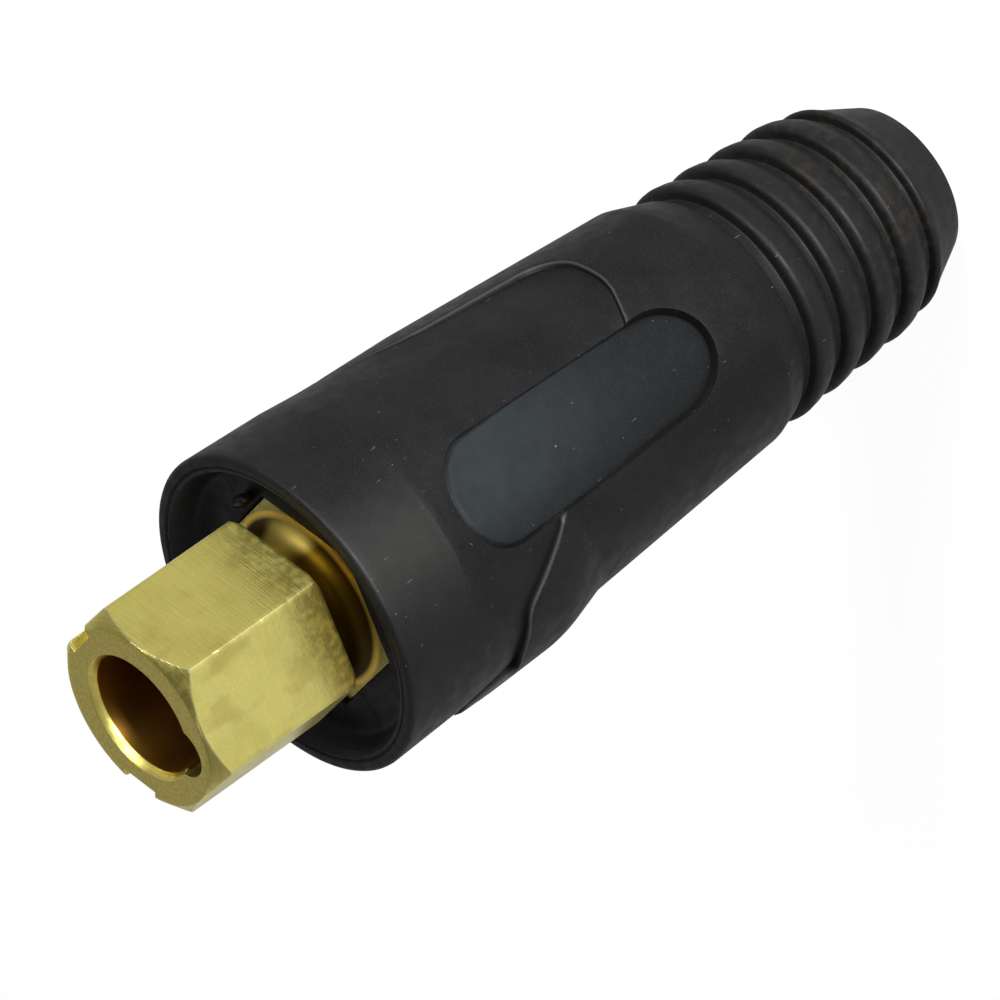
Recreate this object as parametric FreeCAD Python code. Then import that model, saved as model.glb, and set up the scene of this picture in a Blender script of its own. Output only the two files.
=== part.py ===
import FreeCAD, Part
import math
import os

from FreeCAD import Vector

# Welding cable coupling half: a one-piece rubber sleeve round a brass contact.
# Millimetres. +Z runs along the plug from the boot end (Z = 0) to the face of the contact.
# The mould parts along the XZ plane, and the oval pads face -Y and +Y.

# Sleeve, lengths along the axis from the boot end up
CUFF_LENGTH = 4.6
BEAD_OFFSET = 1.9
RIB_COUNT = 5
RIB_PITCH = 4.78
RIB_LENGTH = 3.6
RIB_SLOPE_DROP = 0.65
RIB_DEPTH = 1.35
BODY_GROOVE = 1.68
GRIP_LENGTH = 49.4
WAIST_HEIGHT = 32.7
BELL_LENGTH = 10.1

# Sleeve, radii
RIM_R = 9.0
CUFF_R = 11.2
BEAD_R = 12.2
RIB_REAR_R = 12.44
RIB_FRONT_R = 13.58
RIB_EDGE = 0.45
CORE_REAR_R = 13.03
COLLAR_R = 17.35
LIP_R = 17.78
LIP_ROUND = 1.2

# Grip shell: it stands proud of the scooped core behind the collar
SHELL_EDGE_R = 13.1
SHELL_BEVEL = 0.33
SHELL_REAR_R = 14.07
SHELL_WAIST_R = 16.26
SHELL_FRONT_R = 16.8
SHELL_SHIFT = 0.25

# Flank swelling on the -X side, a body of revolution about a shifted axis
FLANK_SHIFT = 1.5
FLANK_TOP_R = 16.35
FLANK_CREST_R = 16.05
FLANK_FOOT_R = 14.3
FLANK_CREST_DROP = 36.2
FLANK_FOOT_DROP = 29.8

# Outline of the grip shell, seen along Y: X, and height above the shell's rear edge
STRIP_TIP = (16.9, 44.2)
TONGUE_OUTER_X = 13.75
TONGUE_INNER_X = 4.9
TONGUE_END = 15.6
TONGUE_ROUND = 4.3
TONGUE_SIDE_TOP = 32.6
FLANK_START = (-5.4, 34.6)
FLANK_CORNER = (-13.3, 43.4)
FLANK_CORNER_ROUND = 3.0
FLANK_SHELF = (-16.7, 43.8)
FLANK_TIP = (-18.6, 48.3)

# Oval pads
PAD_LENGTH = 36.1
PAD_WIDTH = 12.0
PAD_BELOW_COLLAR = 2.8
PAD_FRONT_DEPTH = 0.15
PAD_REAR_R = 13.5

# Sleeve, inside
MOUTH_R = 15.7
MOUTH_FLOOR_R = 14.2
MOUTH_DEPTH = 2.8
THROAT_R = 7.0
THROAT_EDGE = 0.8
SLEEVE_CLEARANCE = 0.3
BARREL_END_ROOM = 2.0

# Brass contact
HEXAGON_FLATS = 20.0
FIRST_FLAT_TURN = 10.5
CONTACT_PROUD = 19.2
CONTACT_LENGTH = 60.0
FACE_R = 9.8
FACE_CHAMFER_ANGLE = 40.0
FRONT_HEXAGON_LENGTH = 18.2
HEXAGON_END_R = 11.1
NECK_LENGTH = 4.47
NECK_RIM_R = 9.85
NECK_R = 7.8
NECK_STEPS = 5
REAR_HEXAGON_LENGTH = 7.53
BARREL_R = 10.9
BARREL_CHAMFER = 0.6
PIN_BORE_R = 6.55
PIN_BORE_DEPTH = 28.0
COUNTERSINK_R = 7.0
COUNTERSINK_DEPTH = 0.9
KEYWAY_R = 3.0
KEYWAY_OFFSET = 5.8
KEYWAY_TURN = 210.0
LUG_CHAMBER_LENGTH = 5.0
LUG_CHAMBER_WALL = 2.2
LUG_CHAMBER_ROOM = 0.2
LUG_RAMP_RISE = 1.5
SLOT_WIDTH = 4.3
SLOT_DEPTH = 1.2
SLOT_LENGTH = 2.2
SLOT_TURNS = (0.0, 120.0)
CABLE_BORE_R = 4.9
CABLE_BORE_DEPTH = 25.0

# Clamp screws, threads drawn as plain cylinders
SCREW_R = 4.0
SCREW_CLEARANCE = 0.05
SCREW_LENGTH = 5.0
SCREW_SINK = 0.05
SCREW_SOCKET_FLATS = 4.0
SCREW_SOCKET_DEPTH = 2.5
SCREW_HEIGHTS = (10.0, 20.0)
SCREW_TURN = 240.0

# Copper ferrule
FERRULE_WALL = 0.6
FERRULE_LENGTH = 23.0
FERRULE_CLEARANCE = 0.1
FERRULE_INSET = 1.0

# Heights worked out from the lengths
Z_FIRST_RIB = CUFF_LENGTH + BEAD_OFFSET
Z_LAST_RIB = Z_FIRST_RIB + (RIB_COUNT - 1) * RIB_PITCH
Z_SHELL = Z_LAST_RIB + BODY_GROOVE
Z_WAIST = Z_SHELL + WAIST_HEIGHT
Z_COLLAR = Z_SHELL + GRIP_LENGTH
Z_LIP = Z_COLLAR + BELL_LENGTH
Z_FACE = Z_LIP + CONTACT_PROUD
Z_NECK_TOP = Z_FACE - FRONT_HEXAGON_LENGTH
Z_NECK = Z_NECK_TOP - NECK_LENGTH
Z_SHOULDER = Z_NECK - REAR_HEXAGON_LENGTH
Z_BARREL = Z_FACE - CONTACT_LENGTH
Z_MOUTH_FLOOR = Z_LIP - MOUTH_DEPTH

# Reach of cutters beyond the part, and how far a cut runs past the face that it opens
FAR = 40.0
OVERCUT = 1.0


def rounded_wire(corners):
    """Closed wire in the XZ plane through (x, z, radius) corners, each rounded by its radius."""
    points = [Vector(x, 0, z) for x, z, _ in corners]
    count = len(points)
    stretches = []
    for index, (point, corner) in enumerate(zip(points, corners)):
        back = points[index - 1] - point
        ahead = points[(index + 1) % count] - point
        radius = corner[2]
        if radius == 0:
            stretches.append((point, None, point))
            continue
        half_angle = back.getAngle(ahead) / 2
        reach = min(radius / math.tan(half_angle), 0.49 * back.Length, 0.49 * ahead.Length)
        radius = reach * math.tan(half_angle)
        back.normalize()
        ahead.normalize()
        middle = (back + ahead).normalize()
        bow = radius / math.sin(half_angle) - radius
        stretches.append((point + back * reach, point + middle * bow, point + ahead * reach))
    edges = []
    for index, (start, bow_point, end) in enumerate(stretches):
        if bow_point is not None:
            edges.append(Part.Arc(start, bow_point, end).toShape())
        following = stretches[(index + 1) % count][0]
        if end.distanceToPoint(following) > 1e-6:
            edges.append(Part.LineSegment(end, following).toShape())
    return Part.Wire(edges)


def turned(corners, shift=0.0):
    """Solid of revolution about Z, or about a parallel axis shifted along X."""
    solid = Part.Face(rounded_wire(corners)).revolve(Vector(0, 0, 0), Vector(0, 0, 1), 360)
    solid.translate(Vector(shift, 0, 0))
    return solid


def prism_through(corners):
    """Outline in the XZ plane, driven through the whole sleeve along Y."""
    face = Part.Face(rounded_wire(corners))
    face.translate(Vector(0, -FAR, 0))
    return face.extrude(Vector(0, 2 * FAR, 0))


def hexagon(flats, bottom, top):
    """Hexagonal bar between two heights, its first flat facing FIRST_FLAT_TURN."""
    corner_r = flats / 2 / math.cos(math.pi / 6)
    turns = [math.radians(FIRST_FLAT_TURN + 30 + 60 * step) for step in range(6)]
    points = [Vector(corner_r * math.cos(turn), corner_r * math.sin(turn), bottom) for turn in turns]
    return Part.Face(Part.makePolygon(points + points[:1])).extrude(Vector(0, 0, top - bottom))


def cylinder(radius, bottom, top):
    """Upright cylinder on the plug's axis."""
    return Part.makeCylinder(radius, top - bottom, Vector(0, 0, bottom))


def rib_corners(front, crest_r, groove_r):
    """Section of one boot rib: low wall and long slope behind, bevelled crest, high wall in front."""
    foot = front - RIB_LENGTH
    return [
        (groove_r, foot, 0),
        (crest_r - RIB_SLOPE_DROP, foot, 0),
        (crest_r, front - RIB_EDGE, 0),
        (crest_r - RIB_EDGE, front, 0),
        (crest_r - RIB_DEPTH, front, 0),
    ]


def boot_corners():
    """Section of the cone cuff, its end bead and the ribs."""
    groove_r = BEAD_R - RIB_DEPTH
    corners = [
        (0, 0, 0),
        (RIM_R, 0, 0),
        (CUFF_R, CUFF_LENGTH, 0),
        (BEAD_R, Z_FIRST_RIB - RIB_EDGE, 0),
        (BEAD_R - RIB_EDGE, Z_FIRST_RIB, 0),
        (groove_r, Z_FIRST_RIB, 0),
    ]
    for rib in range(1, RIB_COUNT):
        crest_r = RIB_REAR_R + (RIB_FRONT_R - RIB_REAR_R) * rib / (RIB_COUNT - 1)
        corners += rib_corners(Z_FIRST_RIB + rib * RIB_PITCH, crest_r, groove_r)
        groove_r = crest_r - RIB_DEPTH
    return corners


def sleeve_core():
    """Boot, scooped grip core and bell, all turned about the plug's axis."""
    lip_step = LIP_ROUND * (1 - math.sqrt(0.5))
    return turned(boot_corners() + [
        (RIB_FRONT_R - RIB_DEPTH, Z_SHELL, 0),
        (CORE_REAR_R, Z_SHELL, 0),
        (COLLAR_R, Z_COLLAR, 0),
        (LIP_R, Z_LIP - LIP_ROUND, 0),
        (LIP_R - lip_step, Z_LIP - lip_step, 0),
        (LIP_R - LIP_ROUND, Z_LIP, 0),
        (0, Z_LIP, 0),
    ])


def grip_shell():
    """Raised shell of the grip: a shifted cone inside a bevel that stays on the plug's axis."""
    cone = turned([
        (0, Z_SHELL, 0),
        (SHELL_REAR_R, Z_SHELL, 0),
        (SHELL_WAIST_R, Z_WAIST, 0),
        (SHELL_FRONT_R, Z_COLLAR, 0),
        (0, Z_COLLAR, 0),
    ], SHELL_SHIFT)
    bevel = turned([
        (0, Z_SHELL, 0),
        (SHELL_EDGE_R, Z_SHELL, 0),
        (SHELL_EDGE_R + SHELL_BEVEL * GRIP_LENGTH, Z_COLLAR, 0),
        (0, Z_COLLAR, 0),
    ])
    return cone.common(bevel)


def flank_swelling():
    """Swelling that lifts the shell's edge on the -X side."""
    return turned([
        (0, Z_SHELL, 0),
        (FLANK_FOOT_R - SHELL_BEVEL * FLANK_FOOT_DROP, Z_SHELL, 0),
        (FLANK_FOOT_R, Z_SHELL + FLANK_FOOT_DROP, 0),
        (FLANK_CREST_R, Z_SHELL + FLANK_CREST_DROP, 0),
        (FLANK_TOP_R, Z_COLLAR, 0),
        (0, Z_COLLAR, 0),
    ], -FLANK_SHIFT)


def shell_outline():
    """Outline of the shell seen along Y, with the tongue recess on +X and the flank on -X."""
    below = Z_SHELL - OVERCUT
    return [
        (FAR, below, 0),
        (FAR, Z_SHELL + STRIP_TIP[1], 0),
        (STRIP_TIP[0], Z_SHELL + STRIP_TIP[1], 0),
        (TONGUE_OUTER_X, Z_SHELL + TONGUE_END, TONGUE_ROUND),
        (TONGUE_INNER_X, Z_SHELL + TONGUE_END, TONGUE_ROUND),
        (TONGUE_INNER_X, Z_SHELL + TONGUE_SIDE_TOP, 0),
        (FLANK_START[0], Z_SHELL + FLANK_START[1], 0),
        (FLANK_CORNER[0], Z_SHELL + FLANK_CORNER[1], FLANK_CORNER_ROUND),
        (FLANK_SHELF[0], Z_SHELL + FLANK_SHELF[1], 0),
        (FLANK_TIP[0], Z_SHELL + FLANK_TIP[1], 0),
        (-FAR, Z_SHELL + FLANK_TIP[1], 0),
        (-FAR, below, 0),
    ]


def pad_cutter():
    """Stadium driven through the sleeve, less the cone that is the pads' floor."""
    top = Z_COLLAR - PAD_BELOW_COLLAR
    bottom = top - PAD_LENGTH
    half = PAD_WIDTH / 2
    stadium = prism_through([
        (-half, bottom, half),
        (half, bottom, half),
        (half, top, half),
        (-half, top, half),
    ])
    collar_slope = (COLLAR_R - CORE_REAR_R) / GRIP_LENGTH
    front_r = COLLAR_R - collar_slope * PAD_BELOW_COLLAR - PAD_FRONT_DEPTH
    slope = (front_r - PAD_REAR_R) / PAD_LENGTH
    floor = turned([
        (0, bottom - half, 0),
        (PAD_REAR_R - slope * half, bottom - half, 0),
        (front_r + slope * half, top + half, 0),
        (0, top + half, 0),
    ])
    return stadium.cut(floor)


def sleeve_cavity():
    """Mouth, hexagon pocket with the contact's seat at its bottom, barrel room and cable throat."""
    room_r = BARREL_R + SLEEVE_CLEARANCE
    room_bottom = Z_BARREL - BARREL_END_ROOM
    seat = Z_SHOULDER - SLEEVE_CLEARANCE
    room = turned([
        (0, -OVERCUT, 0),
        (THROAT_R + THROAT_EDGE + OVERCUT, -OVERCUT, 0),
        (THROAT_R, THROAT_EDGE, 0),
        (THROAT_R, room_bottom, 0),
        (room_r, room_bottom, 0),
        (room_r, seat, 0),
        (HEXAGON_FLATS, seat, 0),
        (HEXAGON_FLATS, Z_MOUTH_FLOOR + OVERCUT, 0),
        (0, Z_MOUTH_FLOOR + OVERCUT, 0),
    ])
    mouth = turned([
        (0, Z_MOUTH_FLOOR, 0),
        (MOUTH_FLOOR_R, Z_MOUTH_FLOOR, 0),
        (MOUTH_R, Z_LIP, 0),
        (MOUTH_R, Z_LIP + OVERCUT, 0),
        (0, Z_LIP + OVERCUT, 0),
    ])
    pocket = hexagon(HEXAGON_FLATS + 2 * SLEEVE_CLEARANCE, -2 * OVERCUT, Z_MOUTH_FLOOR + OVERCUT / 2)
    return room.common(pocket).fuse(mouth)


def rubber_sleeve():
    """The whole insulating sleeve, moulded in one piece."""
    outline = prism_through(shell_outline())
    shell = grip_shell().fuse(flank_swelling()).common(outline)
    outside = sleeve_core().fuse(shell).cut(pad_cutter())
    return outside.cut(sleeve_cavity()).removeSplitter()


def neck_cutter(outside_r):
    """Ring that turns the neck: a hollow groove turned in steps, and the front hexagon's rear chamfer."""
    middle_z = (Z_NECK + Z_NECK_TOP) / 2
    depth = NECK_RIM_R - NECK_R
    groove_r = (depth ** 2 + (NECK_LENGTH / 2) ** 2) / (2 * depth)
    reach = math.asin(NECK_LENGTH / 2 / groove_r)
    turns = [reach * (2 * step / NECK_STEPS - 1) for step in range(NECK_STEPS + 1)]
    groove = [
        Vector(NECK_R + groove_r * (1 - math.cos(turn)), 0, middle_z + groove_r * math.sin(turn))
        for turn in turns
    ]
    chamfer_foot = Vector(HEXAGON_END_R, 0, Z_NECK_TOP)
    chamfer_top = Vector(outside_r, 0, Z_NECK_TOP + outside_r - HEXAGON_END_R)
    corner = Vector(outside_r, 0, Z_NECK)
    section = Part.makePolygon(groove + [chamfer_foot, chamfer_top, corner, groove[0]])
    return Part.Face(section).revolve(Vector(0, 0, 0), Vector(0, 0, 1), 360)


def contact_blank():
    """Hexagonal bar with its face chamfered, the neck turned in and the barrel's corners turned off."""
    outside_r = HEXAGON_FLATS / 2 / math.cos(math.pi / 6) + OVERCUT
    face_slope = math.tan(math.radians(FACE_CHAMFER_ANGLE))
    envelope = turned([
        (0, Z_BARREL, 0),
        (BARREL_R - BARREL_CHAMFER, Z_BARREL, 0),
        (BARREL_R, Z_BARREL + BARREL_CHAMFER, 0),
        (BARREL_R, Z_SHOULDER, 0),
        (outside_r, Z_SHOULDER, 0),
        (outside_r, Z_FACE - (outside_r - FACE_R) * face_slope, 0),
        (FACE_R, Z_FACE, 0),
        (0, Z_FACE, 0),
    ])
    bar = hexagon(HEXAGON_FLATS, Z_BARREL, Z_FACE)
    return bar.common(envelope).cut(neck_cutter(outside_r))


def pin_socket():
    """Pin bore with its countersink, the keyway for the pin's lug and the chamber it turns in.

    The chamber's roof slopes down away from the keyway, so that a turned lug is drawn in.
    """
    bore_bottom = Z_FACE - PIN_BORE_DEPTH
    bore = turned([
        (0, bore_bottom, 0),
        (PIN_BORE_R, bore_bottom, 0),
        (PIN_BORE_R, Z_FACE - COUNTERSINK_DEPTH, 0),
        (COUNTERSINK_R, Z_FACE, 0),
        (COUNTERSINK_R, Z_FACE + OVERCUT, 0),
        (0, Z_FACE + OVERCUT, 0),
    ])
    chamber_bottom = Z_NECK_TOP + LUG_CHAMBER_WALL
    chamber_top = chamber_bottom + LUG_CHAMBER_LENGTH
    chamber_r = KEYWAY_OFFSET + KEYWAY_R + LUG_CHAMBER_ROOM
    keyway = cylinder(KEYWAY_R, chamber_top - LUG_RAMP_RISE, Z_FACE + OVERCUT)
    keyway.translate(Vector(KEYWAY_OFFSET, 0, 0))
    roof = Part.makeBox(FAR, FAR, FAR, Vector(-FAR / 2, -FAR / 2, chamber_top))
    tilt = math.degrees(math.atan2(LUG_RAMP_RISE, 2 * chamber_r))
    roof.rotate(Vector(chamber_r, 0, chamber_top), Vector(0, 1, 0), -tilt)
    chamber = cylinder(chamber_r, chamber_bottom, chamber_top).cut(roof)
    socket = bore.fuse([keyway, chamber])
    socket.rotate(Vector(0, 0, 0), Vector(0, 0, 1), FIRST_FLAT_TURN + KEYWAY_TURN)
    return socket


def spanner_slot(turn):
    """Slot across one flat at the face of the contact, for a face spanner."""
    floor = HEXAGON_FLATS / 2 - SLOT_DEPTH
    corner = Vector(floor, -SLOT_WIDTH / 2, Z_FACE - SLOT_LENGTH)
    slot = Part.makeBox(SLOT_DEPTH + OVERCUT, SLOT_WIDTH, SLOT_LENGTH + OVERCUT, corner)
    slot.rotate(Vector(0, 0, 0), Vector(0, 0, 1), FIRST_FLAT_TURN + turn)
    return slot


def cable_bore():
    """Flat-bottomed bore for the cable's wires, open at the barrel's end."""
    return cylinder(CABLE_BORE_R, Z_BARREL - OVERCUT, Z_BARREL + CABLE_BORE_DEPTH)


def laid_across(shape, height):
    """Shape built along +Z at the origin, laid over to point out of the barrel at a screw's place."""
    shape.rotate(Vector(0, 0, 0), Vector(0, 1, 0), 90)
    shape.rotate(Vector(0, 0, 0), Vector(0, 0, 1), FIRST_FLAT_TURN + SCREW_TURN)
    shape.translate(Vector(0, 0, Z_BARREL + height))
    return shape


def brass_contact():
    """The whole contact, turned, bored and tapped from one hexagonal bar."""
    cutters = [pin_socket(), cable_bore()]
    cutters += [spanner_slot(turn) for turn in SLOT_TURNS]
    cutters += [laid_across(cylinder(SCREW_R, 0, HEXAGON_FLATS), height) for height in SCREW_HEIGHTS]
    contact = contact_blank()
    for cutter in cutters:
        contact = contact.cut(cutter)
    return contact.removeSplitter()


def clamp_screw(height):
    """Hexagon socket grub screw, its end flush with a flat of the barrel."""
    radius = SCREW_R - SCREW_CLEARANCE
    end = HEXAGON_FLATS / 2 - SCREW_SINK
    socket = hexagon(SCREW_SOCKET_FLATS, end - SCREW_SOCKET_DEPTH, end + OVERCUT)
    return laid_across(cylinder(radius, end - SCREW_LENGTH, end).cut(socket), height)


def clamp_screws():
    """Both grub screws."""
    return Part.makeCompound([clamp_screw(height) for height in SCREW_HEIGHTS])


def cable_ferrule():
    """Thin copper sleeve that lies in the cable bore."""
    outer_r = CABLE_BORE_R - FERRULE_CLEARANCE
    bottom = Z_BARREL + FERRULE_INSET
    top = bottom + FERRULE_LENGTH
    bore = cylinder(outer_r - FERRULE_WALL, bottom - OVERCUT, top + OVERCUT)
    return cylinder(outer_r, bottom, top).cut(bore)


def main():
    os.makedirs("parts", exist_ok=True)
    nodes = {
        "rubber_sleeve": rubber_sleeve(),
        "brass_contact": brass_contact(),
        "clamp_screws": clamp_screws(),
        "cable_ferrule": cable_ferrule(),
    }
    for name, shape in nodes.items():
        shape.exportStep("parts/" + name + ".step")
        print(name, len(shape.Solids), "solids, valid", shape.isValid(), round(shape.Volume, 1), "mm3")


main()
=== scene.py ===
"""Looks of a welding cable coupling half: black rubber sleeve round a brass hexagonal contact."""

import logging
import math
from dataclasses import dataclass
from enum import Enum
from typing import Callable, Sequence

import bmesh
import bpy
import numpy as np
from mathutils import Matrix, Vector


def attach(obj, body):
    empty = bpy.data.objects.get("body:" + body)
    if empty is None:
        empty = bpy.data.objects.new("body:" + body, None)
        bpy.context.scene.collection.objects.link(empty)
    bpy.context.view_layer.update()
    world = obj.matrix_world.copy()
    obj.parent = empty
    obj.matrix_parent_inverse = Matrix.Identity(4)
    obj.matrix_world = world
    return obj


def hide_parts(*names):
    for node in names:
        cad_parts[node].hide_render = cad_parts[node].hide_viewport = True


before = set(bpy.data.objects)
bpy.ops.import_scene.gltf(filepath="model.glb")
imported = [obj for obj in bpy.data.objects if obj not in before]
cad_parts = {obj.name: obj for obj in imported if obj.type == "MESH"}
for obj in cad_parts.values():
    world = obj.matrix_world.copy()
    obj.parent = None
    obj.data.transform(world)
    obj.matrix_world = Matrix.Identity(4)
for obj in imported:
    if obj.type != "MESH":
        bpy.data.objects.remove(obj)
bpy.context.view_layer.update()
LOG = logging.getLogger("plug")
MM = 0.001
ROW = "row"

Corner = tuple[float, float, float]
Colour = tuple[float, float, float, float]


class Body(Enum):
    """Bodies of the frame that pieces ride on."""

    SLEEVE = "sleeve"
    CONTACT = "contact"


class Slot(Enum):
    """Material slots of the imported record."""

    RUBBER = "sleeve_rubber"
    BRASS = "contact_brass"
    STEEL = "screw_steel"
    COPPER = "ferrule_copper"


def rounded_path(corners: Sequence[Corner], closed: bool, arc_steps: int = 6) -> np.ndarray:
    """Polyline through corners, each rounded by its own radius.

    Args:
        corners: (x, y, radius) corners in order.
        closed: whether the last corner joins the first.
        arc_steps: straight steps in each rounding.

    Returns:
        Points of the polyline, one row each.
    """
    points = [np.array(corner[:2], float) for corner in corners]
    count = len(points)
    path: list[np.ndarray] = []
    for index, point in enumerate(points):
        radius = corners[index][2]
        is_end = not closed and index in (0, count - 1)
        if radius == 0 or is_end:
            path.append(point)
            continue
        back = points[index - 1] - point
        ahead = points[(index + 1) % count] - point
        back_length, ahead_length = np.linalg.norm(back), np.linalg.norm(ahead)
        back, ahead = back / back_length, ahead / ahead_length
        half_angle = math.acos(float(np.clip(back @ ahead, -1, 1))) / 2
        reach = min(radius / math.tan(half_angle), 0.49 * back_length, 0.49 * ahead_length)
        radius = reach * math.tan(half_angle)
        middle = (back + ahead) / np.linalg.norm(back + ahead)
        centre = point + middle * radius / math.sin(half_angle)
        start, end = point + back * reach - centre, point + ahead * reach - centre
        turn = math.atan2(start[0] * end[1] - start[1] * end[0], float(start @ end))
        for step in range(arc_steps + 1):
            angle = turn * step / arc_steps
            cosine, sine = math.cos(angle), math.sin(angle)
            path.append(centre + np.array([
                cosine * start[0] - sine * start[1],
                sine * start[0] + cosine * start[1],
            ]))
    return np.array(path)


def signed_distance(outline: np.ndarray, points: np.ndarray) -> np.ndarray:
    """Distance of points from a closed outline, positive inside it.

    Args:
        outline: corners of the outline, one row each.
        points: points to measure, one row each.

    Returns:
        One distance for each point.
    """
    nearest = np.full(len(points), np.inf)
    inside = np.zeros(len(points), bool)
    for start, end in zip(outline, np.roll(outline, -1, axis=0)):
        run = end - start
        share = np.clip((points - start) @ run / max(float(run @ run), 1e-12), 0, 1)
        nearest = np.minimum(nearest, np.linalg.norm(points - start - share[:, None] * run, axis=1))
        if start[1] != end[1]:
            straddles = (start[1] > points[:, 1]) != (end[1] > points[:, 1])
            crossing = start[0] + (points[:, 1] - start[1]) * run[0] / run[1]
            inside ^= straddles & (points[:, 0] < crossing)
    return np.where(inside, nearest, -nearest)


def smooth_step(value: np.ndarray, low: float, high: float) -> np.ndarray:
    """Smooth rise from 0 at low to 1 at high."""
    share = np.clip((value - low) / (high - low), 0, 1)
    return share * share * (3 - 2 * share)


def smooth_max(first: np.ndarray, second: np.ndarray, blend: float) -> np.ndarray:
    """Larger of two heights, with the valley between them filled over a width of blend."""
    share = np.clip(0.5 + (first - second) / (2 * blend), 0, 1)
    return second + (first - second) * share + blend * share * (1 - share)


def smooth_min(first: np.ndarray, second: np.ndarray, blend: float) -> np.ndarray:
    """Smaller of two heights, with the ridge between them rounded over a width of blend."""
    return -smooth_max(-first, -second, blend)


def sloping(height: np.ndarray, start: tuple[float, float], end: tuple[float, float]) -> np.ndarray:
    """Radius along a straight slope through two (height, radius) points."""
    return start[1] + (end[1] - start[1]) * (height - start[0]) / (end[0] - start[0])


def hexagon_radius(turn: np.ndarray, flats: float, flat_turn: float) -> np.ndarray:
    """Radius of a hexagon in each direction, from its size across flats and a flat's direction."""
    from_flat = (turn - math.radians(flat_turn)) % (math.pi / 3)
    from_flat = np.minimum(from_flat, math.pi / 3 - from_flat)
    return flats / 2 / np.cos(from_flat)


def resampled(path: np.ndarray, spacing: Callable[[np.ndarray], float]) -> np.ndarray:
    """Path with its long stretches divided, its own points kept.

    Args:
        path: points of the path, one row each.
        spacing: gives the longest step allowed near a point.

    Returns:
        Points of the finer path.
    """
    finer = [path[0]]
    for start, end in zip(path[:-1], path[1:]):
        length = float(np.linalg.norm(end - start))
        steps = max(1, math.ceil(length / spacing((start + end) / 2)))
        finer += [start + (end - start) * step / steps for step in range(1, steps + 1)]
    return np.array(finer)


def spun(section: np.ndarray, columns: int, closed: bool) -> bpy.types.Mesh:
    """Section spun round the axis, each vertex marked with the row of the section it comes from.

    Args:
        section: (radius, height) points; a radius of 0 makes a pole.
        columns: steps in the full turn.
        closed: whether the section's last point joins its first.

    Returns:
        The mesh, with its outside facing outwards.
    """
    work = bmesh.new()
    rows = work.verts.layers.int.new(ROW)
    ring = []
    for index, (radius, height) in enumerate(section):
        vertex = work.verts.new((radius, 0, height))
        vertex[rows] = index
        ring.append(vertex)
    edges = [work.edges.new(pair) for pair in zip(ring, ring[1:])]
    if closed:
        edges.append(work.edges.new((ring[-1], ring[0])))
    bmesh.ops.spin(
        work, geom=ring + edges, cent=(0, 0, 0), axis=(0, 0, 1), dvec=(0, 0, 0),
        angle=math.tau, steps=columns, use_merge=True, use_duplicate=False,
    )
    poles = [vertex for vertex in work.verts if vertex.co.xy.length < 1e-6]
    bmesh.ops.remove_doubles(work, verts=poles, dist=1e-5)
    bmesh.ops.recalc_face_normals(work, faces=work.faces)
    return finished_mesh(work, "spun")


def finished_mesh(work: bmesh.types.BMesh, name: str) -> bpy.types.Mesh:
    """Mesh of a bmesh, which is freed."""
    mesh = bpy.data.meshes.new(name)
    work.to_mesh(mesh)
    work.free()
    return mesh


def rows_of(mesh: bpy.types.Mesh) -> np.ndarray:
    """Rows of the vertices of a spun mesh, whose marks are then taken off."""
    rows = np.empty(len(mesh.vertices), np.int32)
    mesh.attributes[ROW].data.foreach_get("value", rows)
    mesh.attributes.remove(mesh.attributes[ROW])
    return rows


def mark(mesh: bpy.types.Mesh, name: str, values: np.ndarray) -> None:
    """Gives the vertices an attribute that a material reads."""
    mesh.attributes.new(name, "FLOAT", "POINT").data.foreach_set("value", values)


def places_of(mesh: bpy.types.Mesh) -> np.ndarray:
    """Places of the vertices, one row each."""
    places = np.empty(len(mesh.vertices) * 3)
    mesh.vertices.foreach_get("co", places)
    return places.reshape(-1, 3)


def put(mesh: bpy.types.Mesh, turn: np.ndarray, radius: np.ndarray, height: np.ndarray) -> None:
    """Moves the vertices to places given by direction, radius and height."""
    places = np.column_stack([radius * np.cos(turn), radius * np.sin(turn), height])
    mesh.vertices.foreach_set("co", places.ravel())
    mesh.update()


def cut_out(mesh: bpy.types.Mesh, cutter: bpy.types.Mesh) -> bpy.types.Mesh:
    """Mesh with another closed mesh cut out of it.

    Args:
        mesh: closed mesh that is cut.
        cutter: closed mesh whose room is taken away.

    Returns:
        The new mesh.
    """
    blank = bpy.data.objects.new("blank", mesh)
    helper = bpy.data.objects.new("cutter", cutter)
    for each in (blank, helper):
        bpy.context.scene.collection.objects.link(each)
    modifier = blank.modifiers.new("cut", "BOOLEAN")
    modifier.operation = "DIFFERENCE"
    modifier.solver = "EXACT"
    modifier.object = helper
    graph = bpy.context.evaluated_depsgraph_get()
    result = bpy.data.meshes.new_from_object(blank.evaluated_get(graph))
    for each in (blank, helper):
        bpy.data.objects.remove(each)
    for spent in (mesh, cutter):
        bpy.data.meshes.remove(spent)
    return result


def finish_shape(mesh: bpy.types.Mesh, sharp_angle: float) -> bpy.types.Mesh:
    """Scales a mesh from millimetres to metres and shades it smooth up to an angle in degrees."""
    mesh.transform(Matrix.Scale(MM, 4))
    mesh.shade_smooth()
    mesh.set_sharp_from_angle(angle=math.radians(sharp_angle))
    return mesh


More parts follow.
